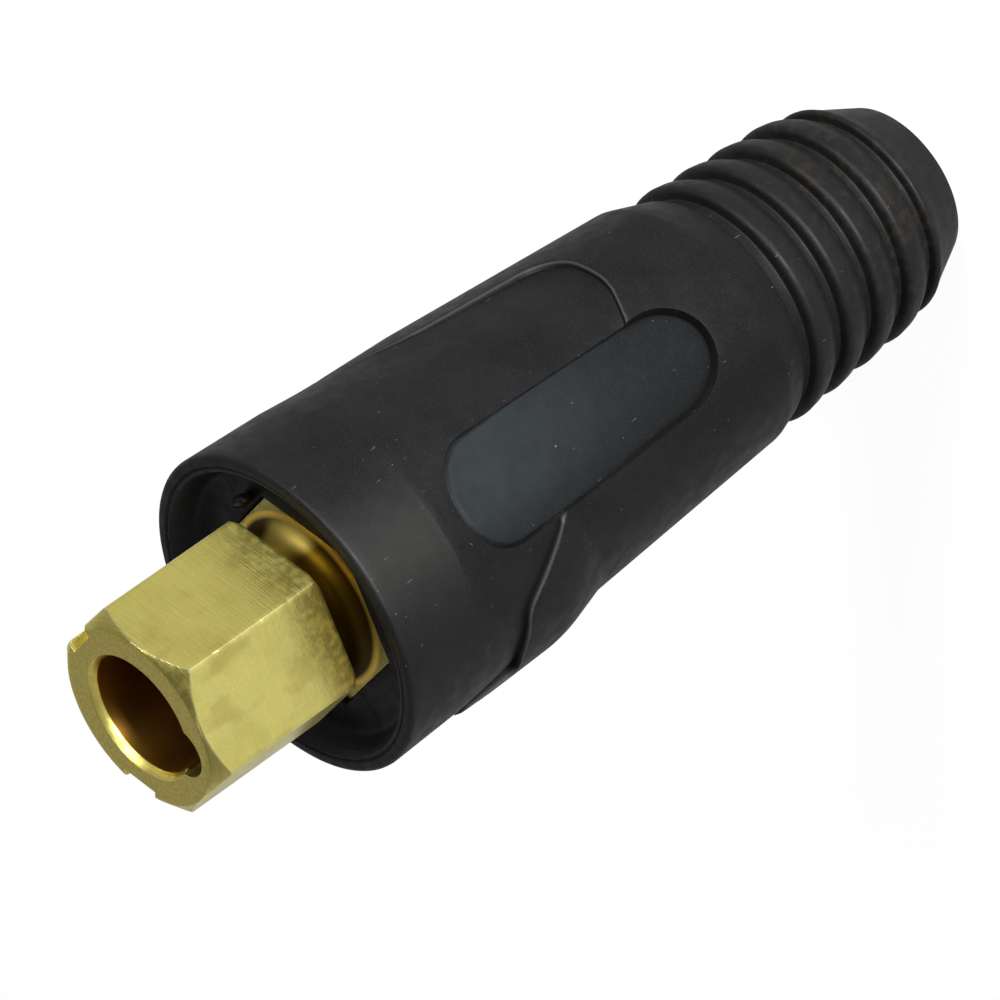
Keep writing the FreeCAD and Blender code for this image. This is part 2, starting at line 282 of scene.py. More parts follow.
def new_piece(
    name: str, mesh: bpy.types.Mesh, body: Body, material: bpy.types.Material, node: str,
) -> None:
    """Makes a piece of a finished mesh, riding on a body and dressed with a material.

    Args:
        name: name of the piece.
        mesh: its mesh, in place in the frame.
        body: body that it rides on.
        material: its material.
        node: solid of the frame that it stands for.
    """
    mesh.name = name
    piece = bpy.data.objects.new(name, mesh)
    bpy.context.scene.collection.objects.link(piece)
    mesh.materials.clear()
    mesh.materials.append(material)
    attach(piece, body.value)
    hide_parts(node)
    triangles = sum(len(face.vertices) - 2 for face in mesh.polygons)
    LOG.info("%s: %d triangles", name, triangles)


class Pocket(Enum):
    """How a ring of the sleeve's section follows the hexagon pocket."""

    ROUND = 0
    HEXAGON = 1
    CAPPED = 2


@dataclass(frozen=True)
class SectionPoint:
    """Point of the sleeve's turned section, in millimetres.

    A HEXAGON point's ring is drawn out to a hexagon round it, and a CAPPED one stays inside the
    pocket's hexagon. A point on the grip takes the grip's relief.
    """

    radius: float
    height: float
    form: Pocket = Pocket.ROUND
    on_grip: bool = False


@dataclass
class RubberSleeve:
    """Moulded sleeve: bell, grip with its raised shell and oval pads, ribbed boot and cuff.

    Sizes are in millimetres. Heights run up from the boot end. Round the sleeve, places are given
    as the arc from the pad's middle, on a cylinder of radius arc_r, positive towards -X.
    """

    columns: int = 288
    arc_r: float = 16.0
    sharp_angle: float = 42.0

    rim_r: float = 9.0
    cuff_r: float = 11.2
    cuff_length: float = 4.6
    bead_r: float = 12.2
    first_rib: float = 6.5
    rib_count: int = 5
    rib_pitch: float = 4.78
    rib_length: float = 3.6
    rib_drop: float = 0.95
    rib_shoulder: tuple[float, float] = (0.12, 1.5)
    rib_depth: float = 1.35
    rib_rear_r: float = 12.44
    rib_front_r: float = 13.58
    rib_round: float = 1.0

    shell_foot: float = 27.3
    shell_edge_r: float = 13.1
    shell_bevel: float = 0.33
    shell_rear_r: float = 14.07
    waist: float = 60.0
    shell_waist_r: float = 16.26
    shell_front_r: float = 16.8
    shell_shift: float = 0.25
    core_rear_r: float = 13.03
    collar: float = 76.7
    collar_r: float = 17.35
    lip_r: float = 17.75
    lip: float = 86.8
    widest_r: float = 17.76

    flank_shift: float = 1.5
    flank_foot: tuple[float, float] = (14.3, 57.1)
    flank_crest: tuple[float, float] = (16.05, 63.5)
    flank_top_r: float = 16.35

    pad_top: float = 73.9
    pad_length: float = 36.1
    pad_half: float = 5.95
    pad_front_r: float = 16.95
    pad_rear_r: float = 13.5

    step_inside: float = 0.02
    step_outside: float = 0.10
    edge_drop: float = 0.08
    edge_reach: float = 0.16
    shade_crease_widths: tuple[float, float] = (0.25, 0.4)
    highlight_rim_widths: tuple[float, float] = (0.22, 0.2)
    flank_dip: tuple[float, float] = (0.14, 1.8)
    tongue_runout: tuple[float, float] = (0.36, 1.3)
    tongue_hollow: tuple[float, float] = (0.22, 4.0)
    collar_groove: tuple[float, float] = (0.07, 0.2)
    crevice_width: float = 0.2

    hexagon_inradius: float = 10.1
    flat_turn: float = 10.5
    throat_r: float = 7.0
    room_r: float = 11.2
    room_bottom: float = 44.0
    seat: float = 75.5
    mouth_floor: float = 84.0
    mouth_floor_r: float = 14.2
    crumb: tuple[float, float, float] = (11.8, -10.0, 85.0)
    crumb_size: tuple[float, float, float] = (0.62, 1.2, 1.1)

    def section(self) -> list[SectionPoint]:
        """Closed section of the sleeve, from the boot's rim up the outside and down the inside."""
        outer = rounded_path(self.outer_corners(), closed=False, arc_steps=4)
        outer = resampled(outer, self.outer_spacing)
        mouth = rounded_path(self.mouth_corners(), closed=False, arc_steps=4)
        mouth = resampled(mouth, lambda point: 0.6)
        points = [
            SectionPoint(radius, height, on_grip=bool(self.shell_foot - 0.01 < height < self.collar + 2))
            for radius, height in outer
        ]
        points += [SectionPoint(radius, height) for radius, height in mouth[1:]]
        return points + self.inside_points()

    def outer_corners(self) -> list[Corner]:
        """Corners of the outside, from the boot's rim to the lip's outer edge."""
        corners = [
            (self.rim_r - 0.6, 0.0, 0.0),
            (self.rim_r, 0.0, 0.35),
            (self.cuff_r, self.cuff_length, 0.8),
            (self.bead_r + 0.1, self.first_rib, 0.75),
            (self.bead_r - self.rib_depth, self.first_rib, 0.2),
        ]
        groove_r = self.bead_r - self.rib_depth
        for rib in range(1, self.rib_count):
            share = rib / (self.rib_count - 1)
            crest = self.rib_rear_r + (self.rib_front_r - self.rib_rear_r) * share
            front = self.first_rib + rib * self.rib_pitch
            foot = front - self.rib_length
            corners += [
                (groove_r, foot, 0.15),
                (crest - self.rib_drop, foot, 0.35),
                (crest - self.rib_shoulder[0], foot + self.rib_shoulder[1], 2.5),
                (crest + 0.2, front, self.rib_round),
                (crest - self.rib_depth, front, 0.2),
            ]
            groove_r = crest - self.rib_depth
        corners += [
            (groove_r, self.shell_foot, 0.15),
            (self.core_rear_r, self.shell_foot, 0.25),
            (self.collar_r, self.collar, 0.0),
            (self.lip_r, self.lip, 1.15),
            (16.6, self.lip, 0.3),
        ]
        return corners

    def outer_spacing(self, point: np.ndarray) -> float:
        """Longest step between rows of the outside near a point."""
        if self.shell_foot + 0.5 < point[1] < self.collar + 0.3:
            return 0.345
        return 1.0

    def mouth_corners(self) -> list[Corner]:
        """Corners of the lip's two thin ridges and of the mouth down to its floor."""
        return [
            (16.6, self.lip, 0.0),
            (16.45, self.lip - 0.3, 0.12),
            (16.3, self.lip - 0.12, 0.12),
            (15.95, self.lip - 0.12, 0.2),
            (15.6, self.lip - 0.75, 0.5),
            (14.7, self.mouth_floor + 0.1, 0.9),
            (self.mouth_floor_r - 0.6, self.mouth_floor, 0.0),
        ]

    def inside_points(self) -> list[SectionPoint]:
        """Section of the mouth's floor, hexagon pocket, barrel room and throat."""
        flat_r = self.hexagon_inradius
        return [
            SectionPoint(flat_r + 1.6, self.mouth_floor, Pocket.HEXAGON),
            SectionPoint(flat_r + 0.35, self.mouth_floor, Pocket.HEXAGON),
            SectionPoint(flat_r + 0.08, self.mouth_floor - 0.1, Pocket.HEXAGON),
            SectionPoint(flat_r, self.mouth_floor - 0.35, Pocket.HEXAGON),
            SectionPoint(flat_r, self.seat + 4.0, Pocket.HEXAGON),
            SectionPoint(flat_r, self.seat, Pocket.HEXAGON),
            SectionPoint(self.room_r, self.seat - 0.01, Pocket.CAPPED),
            SectionPoint(self.room_r, self.room_bottom, Pocket.CAPPED),
            SectionPoint(self.throat_r, self.room_bottom - 0.01),
            SectionPoint(self.throat_r, 20.0),
            SectionPoint(self.throat_r, 0.8),
            SectionPoint(self.throat_r + 0.8, 0.0),
        ]

    def shell_outline(self) -> np.ndarray:
        """Outline of the raised shell in arc and height: tongue recess on one side, flank on the other."""
        return rounded_path([
            (-60.0, 0.0, 0.0),
            (-60.0, 74.5, 0.0),
            (-26.8, 74.5, 0.0),
            (-20.3, 61.5, 14.0),
            (-19.7, 42.8, 5.6),
            (-11.2, 42.6, 9.0),
            (-5.2, 45.2, 0.0),
            (-4.6, 60.0, 0.0),
            (5.4, 62.1, 1.5),
            (12.6, 70.2, 3.0),
            (18.6, 70.8, 1.5),
            (21.6, 70.3, 1.2),
            (24.2, 76.2, 0.0),
            (60.0, 78.0, 0.0),
            (60.0, 0.0, 0.0),
        ], closed=True, arc_steps=10)

    def pad_outline(self) -> np.ndarray:
        """Outline of the oval pad in arc and height."""
        bottom = self.pad_top - self.pad_length
        half = self.pad_half
        return rounded_path([
            (-half, bottom, half),
            (half, bottom, half),
            (half, self.pad_top, half),
            (-half, self.pad_top, half),
        ], closed=True, arc_steps=12)

    def shell_r(self, across: np.ndarray, height: np.ndarray) -> np.ndarray:
        """Radius of the raised shell and its flank swelling, where across is 1 towards -X."""
        cone = np.where(
            height < self.waist,
            sloping(height, (self.shell_foot, self.shell_rear_r), (self.waist, self.shell_waist_r)),
            sloping(height, (self.waist, self.shell_waist_r), (self.collar, self.shell_front_r)),
        ) - self.shell_shift * across
        bevel = self.shell_edge_r + self.shell_bevel * (height - self.shell_foot)
        foot_r, foot = self.flank_foot
        crest_r, crest = self.flank_crest
        flank = smooth_min(
            sloping(height, (foot, foot_r), (crest, crest_r)),
            sloping(height, (crest, crest_r), (self.collar, self.flank_top_r)),
            0.5,
        ) + self.flank_shift * across
        return smooth_max(smooth_min(cone, bevel, 0.06), flank, 0.08)

    def relief(self, across: np.ndarray, places: np.ndarray) -> np.ndarray:
        """How far the grip's surface stands off its scooped core, with its shell, flank and pads.

        Args:
            across: for each point, 1 towards -X and -1 towards +X.
            places: arc and height of each point.

        Returns:
            Distance of each point outwards from the core.
        """
        arc, height = places[:, 0], places[:, 1]
        core = sloping(height, (self.shell_foot, self.core_rear_r), (self.collar, self.collar_r))
        in_shell = signed_distance(self.shell_outline(), places)
        off_shell = np.minimum(in_shell, 0)
        depth, reach = self.flank_dip
        dip = depth * np.exp(off_shell / reach) * smooth_step(arc, 4.0, 9.0)
        depth, reach = self.tongue_runout
        runout = depth * np.exp(off_shell / reach) * smooth_step(-arc, 4.5, 8.0)
        runout = runout * smooth_step(height, 74.0, self.waist)
        depth, reach = self.tongue_hollow
        hollow = depth * smooth_step(-in_shell, 0.0, reach) * smooth_step(-arc, 3.0, 9.0)
        hollow = hollow * smooth_step(self.collar - height, 2.0, 16.0)
        scoop = core + (runout - dip) * (in_shell < 0) - hollow
        dulled = self.edge_drop * np.exp(-np.abs(in_shell) / self.edge_reach)
        shell = self.shell_r(across, height) - dulled
        surface = np.where(in_shell > 0, np.maximum(shell, scoop), scoop)
        surface = np.where(height > self.collar, core, surface)
        in_pad = signed_distance(self.pad_outline(), places)
        pad_bottom = self.pad_top - self.pad_length
        floor = sloping(height, (pad_bottom, self.pad_rear_r), (self.pad_top, self.pad_front_r))
        front = smooth_step(height, 62.0, 69.0)
        crevice = np.exp(-np.abs(in_pad) / self.crevice_width) * front
        crevice = crevice * (0.12 + 0.16 * smooth_step(arc, -2.0, 3.5))
        floor = np.minimum(floor, surface - 0.1 * front) - crevice
        rim = self.edge_drop * np.exp(-np.abs(in_pad) / self.edge_reach)
        rim = rim * smooth_step(surface - floor, 0.1, 0.5)
        surface = np.where(in_pad > 0, floor, surface - rim)
        depth, width = self.collar_groove
        groove = depth * np.exp(-((height - self.collar) / width) ** 2)
        groove = groove * smooth_step(arc, -17.0, -10.0) * smooth_step(-arc, -8.0, -1.0)
        return np.minimum(surface - groove, self.widest_r) - core

    def snapped(self, places: np.ndarray, edges: np.ndarray, outline: np.ndarray) -> np.ndarray:
        """Moves the ends of edges that cross an outline close to it, one to each side.

        Args:
            places: arc and height of each point.
            edges: pairs of points.
            outline: corners of the outline.

        Returns:
            The new places.
        """
        places = places.copy()
        distance = signed_distance(outline, places)
        crossing = (distance[edges[:, 0]] > 0) != (distance[edges[:, 1]] > 0)
        near = np.unique(edges[crossing])
        target = np.where(distance[near] > 0, self.step_inside, -self.step_outside)
        seam = np.abs(places[near, 0]) > self.arc_r * math.pi / 2 - 0.05
        probe = 0.01
        for _ in range(3):
            here = places[near]
            value = signed_distance(outline, here)
            slope = np.column_stack([
                signed_distance(outline, here + (probe, 0)) - value,
                signed_distance(outline, here + (0, probe)) - value,
            ]) / probe
            slope[seam, 0] = 0
            size = np.maximum((slope ** 2).sum(axis=1), 0.25)
            places[near] = here - slope * ((value - target) / size)[:, None]
        return places

    def mesh(self) -> bpy.types.Mesh:
        """Mesh of the whole sleeve: its section spun round, then drawn out to its relief."""
        section = self.section()
        outline = np.array([(point.radius, point.height) for point in section])
        mesh = spun(outline, self.columns, closed=True)
        self.draw_out(mesh, section)
        self.add_crumb(mesh)
        return finish_shape(mesh, self.sharp_angle)

    def draw_out(self, mesh: bpy.types.Mesh, section: list[SectionPoint]) -> None:
        """Moves the vertices of the spun section to the hexagon pocket and the grip's relief."""
        rows = rows_of(mesh)
        spots = places_of(mesh)
        form = np.array([point.form.value for point in section])[rows]
        on_grip = np.array([point.on_grip for point in section])[rows]
        radius = np.hypot(spots[:, 0], spots[:, 1])
        turn = np.arctan2(spots[:, 1], spots[:, 0])
        height = spots[:, 2]
        drawn = hexagon_radius(turn, 2 * radius, self.flat_turn)
        capped = np.minimum(radius, hexagon_radius(turn, 2 * self.hexagon_inradius, self.flat_turn))
        radius = np.where(form == Pocket.HEXAGON.value, drawn, radius)
        radius = np.where(form == Pocket.CAPPED.value, capped, radius)
        grip = np.flatnonzero(on_grip)
        number = np.full(len(rows), -1)
        number[grip] = np.arange(len(grip))
        edges = np.empty(len(mesh.edges) * 2, np.int32)
        mesh.edges.foreach_get("vertices", edges)
        edges = number[edges.reshape(-1, 2)]
        edges = edges[(edges >= 0).all(axis=1)]
        side = np.where(np.sin(turn[grip]) > 0, 1, -1)
        bearing = np.arctan2(-np.cos(turn[grip]), np.abs(np.sin(turn[grip])))
        places = np.column_stack([bearing * self.arc_r, height[grip]])
        places = self.snapped(places, edges, self.shell_outline())
        places = self.snapped(places, edges, self.pad_outline())
        bearing = places[:, 0] / self.arc_r
        core = sloping(places[:, 1], (self.shell_foot, self.core_rear_r), (self.collar, self.collar_r))
        core = np.where(places[:, 1] > self.collar, radius[grip], core)
        core = np.where(places[:, 1] < self.shell_foot + 0.3, radius[grip], core)
        turn[grip] = side * (math.pi / 2 + bearing)
        height[grip] = places[:, 1]
        radius[grip] = core + self.relief(np.sin(bearing), places)
        put(mesh, turn, radius, height)
        self.mark_steps(mesh, grip, places)

    def mark_steps(self, mesh: bpy.types.Mesh, grip: np.ndarray, places: np.ndarray) -> None:
        """Splits the faces that straddle a step along its edge, and marks painted shade in the steps'
        creases and painted highlights on their rims.

        Args:
            mesh: mesh of the sleeve.
            grip: numbers of the vertices on the grip.
            places: arc and height of each of these vertices.
        """
        in_shell = signed_distance(self.shell_outline(), places)
        in_pad = signed_distance(self.pad_outline(), places)
        arc, height = places[:, 0], places[:, 1]
        pad_shade_width, scoop_shade_width = self.shade_crease_widths
        shell_highlight_width, pad_highlight_width = self.highlight_rim_widths
        rear = 0.12 + 0.88 * smooth_step(height, 58.0, 46.0)
        rear = rear * (1 - smooth_step(-arc, 2.5, 4.5) * smooth_step(height, 44.0, 46.5))
        edge = 0.3 + 0.7 * smooth_step(arc, 3.0, 7.0)
        on_scoop = (in_shell < 0) & (in_pad < 0)
        # Painted shade in the creases and painted highlights along the rims, read by the rubber's material.
        marks = {
            "crease_shade": np.maximum(
                np.where(in_pad > 0, np.exp(-in_pad / pad_shade_width), 0) * rear,
                np.where(on_scoop, np.exp(in_shell / scoop_shade_width), 0) * edge,
            ),
            "rim": np.maximum(
                np.where((in_shell > 0) & (in_pad < 0), np.exp(-in_shell / shell_highlight_width), 0),
                np.where(in_pad < 0, np.exp(in_pad / pad_highlight_width), 0) * (0.5 - 0.4 * rear),
            ),
        }
        for inside in (in_shell > 0, in_pad > 0):
            flags = np.zeros(len(mesh.vertices), np.int8)
            flags[grip] = np.where(inside, 1, 2)
            self.split_along(mesh, flags)
        for name, share in marks.items():
            whole = np.zeros(len(mesh.vertices))
            whole[grip] = share
            mark(mesh, name, whole)

    @staticmethod
    def split_along(mesh: bpy.types.Mesh, flags: np.ndarray) -> None:
        """Cuts off each quad's one corner that lies on the other side of a step.

        Args:
            mesh: mesh whose faces are split.
            flags: 1 or 2 for the vertices on either side of the step, and 0 for all others.
        """
        work = bmesh.new()
        work.from_mesh(mesh)
        for face in list(work.faces):
            if len(face.verts) != 4:
                continue
            marks = [flags[vertex.index] for vertex in face.verts]
            if 0 in marks or marks.count(1) not in (1, 3):
                continue
            odd = marks.index(1 if marks.count(1) == 1 else 2)
            corners = face.verts
            bmesh.utils.face_split(face, corners[odd - 1], corners[(odd + 1) % 4])
        work.to_mesh(mesh)
        work.free()

    def add_crumb(self, mesh: bpy.types.Mesh) -> None:
        """Adds the torn crumb of rubber that sits at the edge of the hexagon pocket."""
        radius, turn, height = self.crumb
        place = Matrix.Rotation(math.radians(turn), 4, "Z") @ Matrix.Translation((radius, 0, height))
        work = bmesh.new()
        work.from_mesh(mesh)
        made = bmesh.ops.create_icosphere(work, subdivisions=3, radius=1.0)
        stretch = Matrix.Diagonal((*self.crumb_size, 1.0))
        for vertex in made["verts"]:
            x, y, z = vertex.co
            lump = 0.12 * math.sin(5 * x + 1) * math.cos(6 * y) + 0.1 * math.sin(7 * z)
            vertex.co = place @ stretch @ (vertex.co * (1 + lump))
        work.to_mesh(mesh)
        work.free()


class Form(Enum):
    """How a ring of a turned section is drawn out."""

    ROUND = 0
    HEXAGON = 1
    SOCKET = 2
    ROOF = 3


@dataclass(frozen=True)
class Ring:
    """Point of a turned section, in millimetres, spun to a ring of its own form.

    A HEXAGON ring follows the bar's hexagon, capped by the radius, less an inset. Its height changes
    by the slope for each millimetre that the hexagon stands out past slope_r. A SOCKET ring is round
    apart from the keyway, and a ROOF ring lies on the lug chamber's sloping roof.
    """

    radius: float
    height: float
    form: Form = Form.ROUND
    slope: float = 0.0
    slope_r: float = 0.0
    inset: float = 0.0


@dataclass
class BrassContact:
    """Contact turned, bored and milled from hexagonal bar. Sizes in millimetres, angles in degrees.

    Each nick is given by its direction, height, size and depth.
    """

    columns: int = 480
    sharp_angle: float = 38.0
    flats: float = 20.0
    flat_turn: float = 10.5
    open_r: float = 20.0
    bar_steps: int = 48
    edge: float = 0.06
    corner_blunt: float = 0.045
    corner_reach: float = 0.8
    corner_wear: float = 0.8
    corner_line: float = 0.2

    barrel_end: float = 46.0
    barrel_r: float = 10.9
    barrel_chamfer: float = 0.6
    cable_bore_r: float = 4.9
    cable_bore_top: float = 71.0
    shoulder: float = 75.8
    neck: float = 83.33
    neck_top: float = 87.8
    neck_rim_r: float = 9.85
    neck_r: float = 7.8
    neck_steps: int = 28
    rear_chamfer_r: float = 11.1
    face: float = 106.0
    face_r: float = 9.8
    face_angle: float = 40.0

    bore_r: float = 6.55
    bore_bottom: float = 78.0
    countersink_r: float = 7.0
    countersink: float = 0.9
    keyway_r: float = 3.0
    keyway_offset: float = 5.8
    keyway_turn: float = 220.5
    chamber_r: float = 9.0
    chamber_bottom: float = 90.0
    roof_middle: float = 94.25
    roof_slope: float = 0.75 / 9.0

    slot_turns: tuple[float, float] = (10.5, 130.5)
    slot_floor: float = 8.8
    slot_width: float = 4.3
    slot_length: float = 2.2
    screw_turn: float = 250.5
    screw_heights: tuple[float, float] = (56.0, 66.0)
    screw_hole_r: float = 4.0

    nicks: tuple[tuple[float, float, float, float], ...] = (
        (280.5, 91.6, 0.25, 0.05),
        (280.5, 95.3, 0.20, 0.04),
        (280.5, 101.1, 0.22, 0.05),
        (340.5, 96.0, 0.25, 0.05),
        (220.5, 97.0, 0.25, 0.05),
    )

    def barrel_rings(self) -> list[Ring]:
        """Cable bore, barrel and rear hexagon, up to the neck."""
        end, cap = self.barrel_end, self.barrel_r
        chamfer_r = cap - self.barrel_chamfer
        rings = [
            Ring(0.0, self.cable_bore_top),
            Ring(self.cable_bore_r, self.cable_bore_top),
            Ring(self.cable_bore_r, end + 0.4),
            Ring(self.cable_bore_r + 0.4, end),
            Ring(chamfer_r, end, Form.HEXAGON, inset=2 * self.edge),
            Ring(cap, end + self.edge, Form.HEXAGON, slope=1.0, slope_r=chamfer_r),
        ]
        heights = [*np.linspace(end + 1.2, self.shoulder - 0.3, 12), self.shoulder - 0.03]
        rings += [Ring(cap, height, Form.HEXAGON) for height in heights]
        heights = (self.shoulder, self.shoulder + 0.4, 79.5, self.neck - 0.4, self.neck - self.edge)
        rings += [Ring(self.open_r, height, Form.HEXAGON) for height in heights]
        rings.append(Ring(self.open_r, self.neck, Form.HEXAGON, inset=self.edge))
        return rings

    def neck_rings(self) -> list[Ring]:
        """Hollow groove that is turned round the neck."""
        half = (self.neck_top - self.neck) / 2
        depth = self.neck_rim_r - self.neck_r
        groove_r = (depth ** 2 + half ** 2) / (2 * depth)
        reach = math.asin(half / groove_r)
        middle = self.neck + half
        return [
            Ring(self.neck_r + groove_r * (1 - math.cos(turn)), middle + groove_r * math.sin(turn))
            for turn in np.linspace(-reach, reach, self.neck_steps)
        ]

    def front_rings(self) -> list[Ring]:
        """Front hexagon with its rear chamfer and its chamfered face."""
        top = self.neck_top
        rear = {"form": Form.HEXAGON, "slope": 1.0, "slope_r": self.rear_chamfer_r}
        slope = -math.tan(math.radians(self.face_angle))
        front = {"form": Form.HEXAGON, "slope": slope, "slope_r": self.face_r}
        rings = [
            Ring(self.rear_chamfer_r, top, Form.HEXAGON, inset=0.08),
            Ring(self.open_r, top + 0.02, inset=0.05, **rear),
            Ring(self.open_r, top + 0.1, **rear),
            Ring(self.open_r, top + 0.4, **rear),
        ]
        heights = np.linspace(top + 1.2, self.face - 2.2, self.bar_steps)
        rings += [Ring(self.open_r, height, Form.HEXAGON) for height in heights]
        rings += [
            Ring(self.open_r, self.face - 0.35, **front),
            Ring(self.open_r, self.face - self.edge, **front),
            Ring(self.open_r, self.face, inset=self.edge, **front),
            Ring(self.open_r, self.face + 0.07, inset=self.edge + 0.08, **front),
            Ring(self.face_r + 0.05, self.face - 0.04),
            Ring(self.face_r - 0.05, self.face),
            Ring(self.face_r - 0.5, self.face),
        ]
        return rings

    def socket_rings(self) -> list[Ring]:
        """Countersink, pin bore with its keyway, and the chamber that the pin's lug turns in."""
        lip = self.face - self.countersink
        return [
            Ring(self.countersink_r + 0.3, self.face, Form.SOCKET),
            Ring(self.countersink_r + 0.05, self.face, Form.SOCKET),
            Ring(self.countersink_r - 0.02, self.face - self.edge, Form.SOCKET),
            Ring(self.bore_r + 0.03, lip + 0.05, Form.SOCKET),
            Ring(self.bore_r, lip - 0.1, Form.SOCKET),
            Ring(self.bore_r, lip - 3.0, Form.SOCKET),
            Ring(self.bore_r, lip - 7.0, Form.SOCKET),
            Ring(self.bore_r, 0.0, Form.ROOF),
            Ring(self.chamber_r, 0.0, Form.ROOF),
            Ring(self.chamber_r, self.chamber_bottom),
            Ring(self.bore_r, self.chamber_bottom),
            Ring(self.bore_r, self.bore_bottom),
            Ring(0.0, self.bore_bottom),
        ]

    def keyway(self, turn: np.ndarray) -> np.ndarray:
        """Radius of the keyway's far wall in each direction, or 0 where it doesn't reach."""
        bearing = turn - math.radians(self.keyway_turn)
        along = self.keyway_offset * np.cos(bearing)
        inside = self.keyway_r ** 2 - (self.keyway_offset * np.sin(bearing)) ** 2
        return np.where((inside > 0) & (along > 0), along + np.sqrt(np.maximum(inside, 0)), 0)

    def from_corner(self, turn: np.ndarray) -> np.ndarray:
        """Angle in radians from the nearest corner of the bar's hexagon."""
        return (turn - math.radians(self.flat_turn)) % (math.pi / 3) - math.pi / 6

    def blunted_hexagon(self, turn: np.ndarray) -> np.ndarray:
        """Radius of the bar's hexagon with its corners slightly blunted."""
        radius = hexagon_radius(turn, self.flats, self.flat_turn)
        reach = math.radians(self.corner_reach)
        return radius - self.corner_blunt * np.exp(-(self.from_corner(turn) / reach) ** 2)

    def mesh(self) -> bpy.types.Mesh:
        """Mesh of the whole contact, with its spanner slots and screw holes cut."""
        rings = self.barrel_rings() + self.neck_rings() + self.front_rings() + self.socket_rings()
        section = np.array([(ring.radius, ring.height or self.roof_middle) for ring in rings])
        mesh = spun(section, self.columns, closed=False)
        self.draw_out(mesh, rings)
        cutters = bmesh.new()
        for turn in self.slot_turns:
            self.add_slot_cutter(cutters, turn)
        for height in self.screw_heights:
            self.add_screw_cutter(cutters, height)
        mesh = cut_out(mesh, finished_mesh(cutters, "cutters"))
        return finish_shape(mesh, self.sharp_angle)

    def draw_out(self, mesh: bpy.types.Mesh, rings: list[Ring]) -> None:
        """Moves the vertices of the spun section to their rings' own forms."""
        rows = rows_of(mesh)
        spots = places_of(mesh)
        turn = np.arctan2(spots[:, 1], spots[:, 0])
        radius, height, slope, slope_r, inset = (
            np.array([getattr(ring, name) for ring in rings])[rows]
            for name in ("radius", "height", "slope", "slope_r", "inset")
        )
        form = np.array([ring.form.value for ring in rings])[rows]
        full = np.minimum(self.blunted_hexagon(turn), radius)
        on_bar = form == Form.HEXAGON.value
        height = np.where(on_bar, height + slope * np.maximum(full - slope_r, 0), height)
        keyed = np.maximum(radius, self.keyway(turn))
        in_socket = (form == Form.SOCKET.value) | (form == Form.ROOF.value)
        radius = np.where(on_bar, full - inset, np.where(in_socket, keyed, radius))
        roof = self.roof_middle + self.roof_slope * radius * np.cos(turn - math.radians(self.keyway_turn))
        height = np.where(form == Form.ROOF.value, roof, height)
        radius = np.where(on_bar, radius - self.wear(turn, height), radius)
        put(mesh, turn, radius, height)
        self.mark_edges(mesh, rows, turn, rings)

    def mark_edges(
        self, mesh: bpy.types.Mesh, rows: np.ndarray, turn: np.ndarray, rings: list[Ring],
    ) -> None:
        """Marks the bar's corners and the edge of its front chamfer, which are worn bright.

        Args:
            mesh: mesh of the contact.
            rows: ring of each vertex.
            turn: direction of each vertex.
            rings: rings of the section.
        """
        along = np.abs(self.from_corner(turn)) < math.radians(self.corner_line)
        along &= np.array([ring.form == Form.HEXAGON for ring in rings])[rows]
        round_face = np.array([ring.slope < 0 and ring.inset == self.edge for ring in rings])[rows]
        mark(mesh, "edge", np.where(round_face, 1.0, np.where(along, self.corner_wear, 0.0)))

    def wear(self, turn: np.ndarray, height: np.ndarray) -> np.ndarray:
        """Depth of the small nicks in the bar's corners."""
        depth = np.zeros(len(turn))
        for nick_turn, nick_height, size, nick_depth in self.nicks:
            bearing = (turn - math.radians(nick_turn) + math.pi) % math.tau - math.pi
            away = (bearing * self.flats / 2) ** 2 + (height - nick_height) ** 2
            depth += nick_depth * np.exp(-away / size ** 2)
        return depth

    def add_slot_cutter(self, work: bmesh.types.BMesh, turn: float) -> None:
        """Adds the box that takes out one spanner slot."""
        overcut = 1.5
        size = (self.flats / 2 - self.slot_floor + overcut, self.slot_width, self.slot_length + overcut)
        middle = (self.slot_floor + size[0] / 2, 0, self.face - self.slot_length + size[2] / 2)
        place = Matrix.Rotation(math.radians(turn), 4, "Z") @ Matrix.Translation(middle)
        bmesh.ops.create_cube(work, size=1.0, matrix=place @ Matrix.Diagonal((*size, 1.0)))

    def add_screw_cutter(self, work: bmesh.types.BMesh, height: float) -> None:
        """Adds the cylinder that takes out one tapped hole."""
        start, end = 1.0, self.flats / 2 + 2.0
        place = (
            Matrix.Translation((0, 0, height)) @ Matrix.Rotation(math.radians(self.screw_turn), 4, "Z")
            @ Matrix.Rotation(math.pi / 2, 4, "Y") @ Matrix.Translation((0, 0, (start + end) / 2))
        )
        bmesh.ops.create_cone(
            work, cap_ends=True, cap_tris=False, segments=72, radius1=self.screw_hole_r,
            radius2=self.screw_hole_r, depth=end - start, matrix=place,
        )


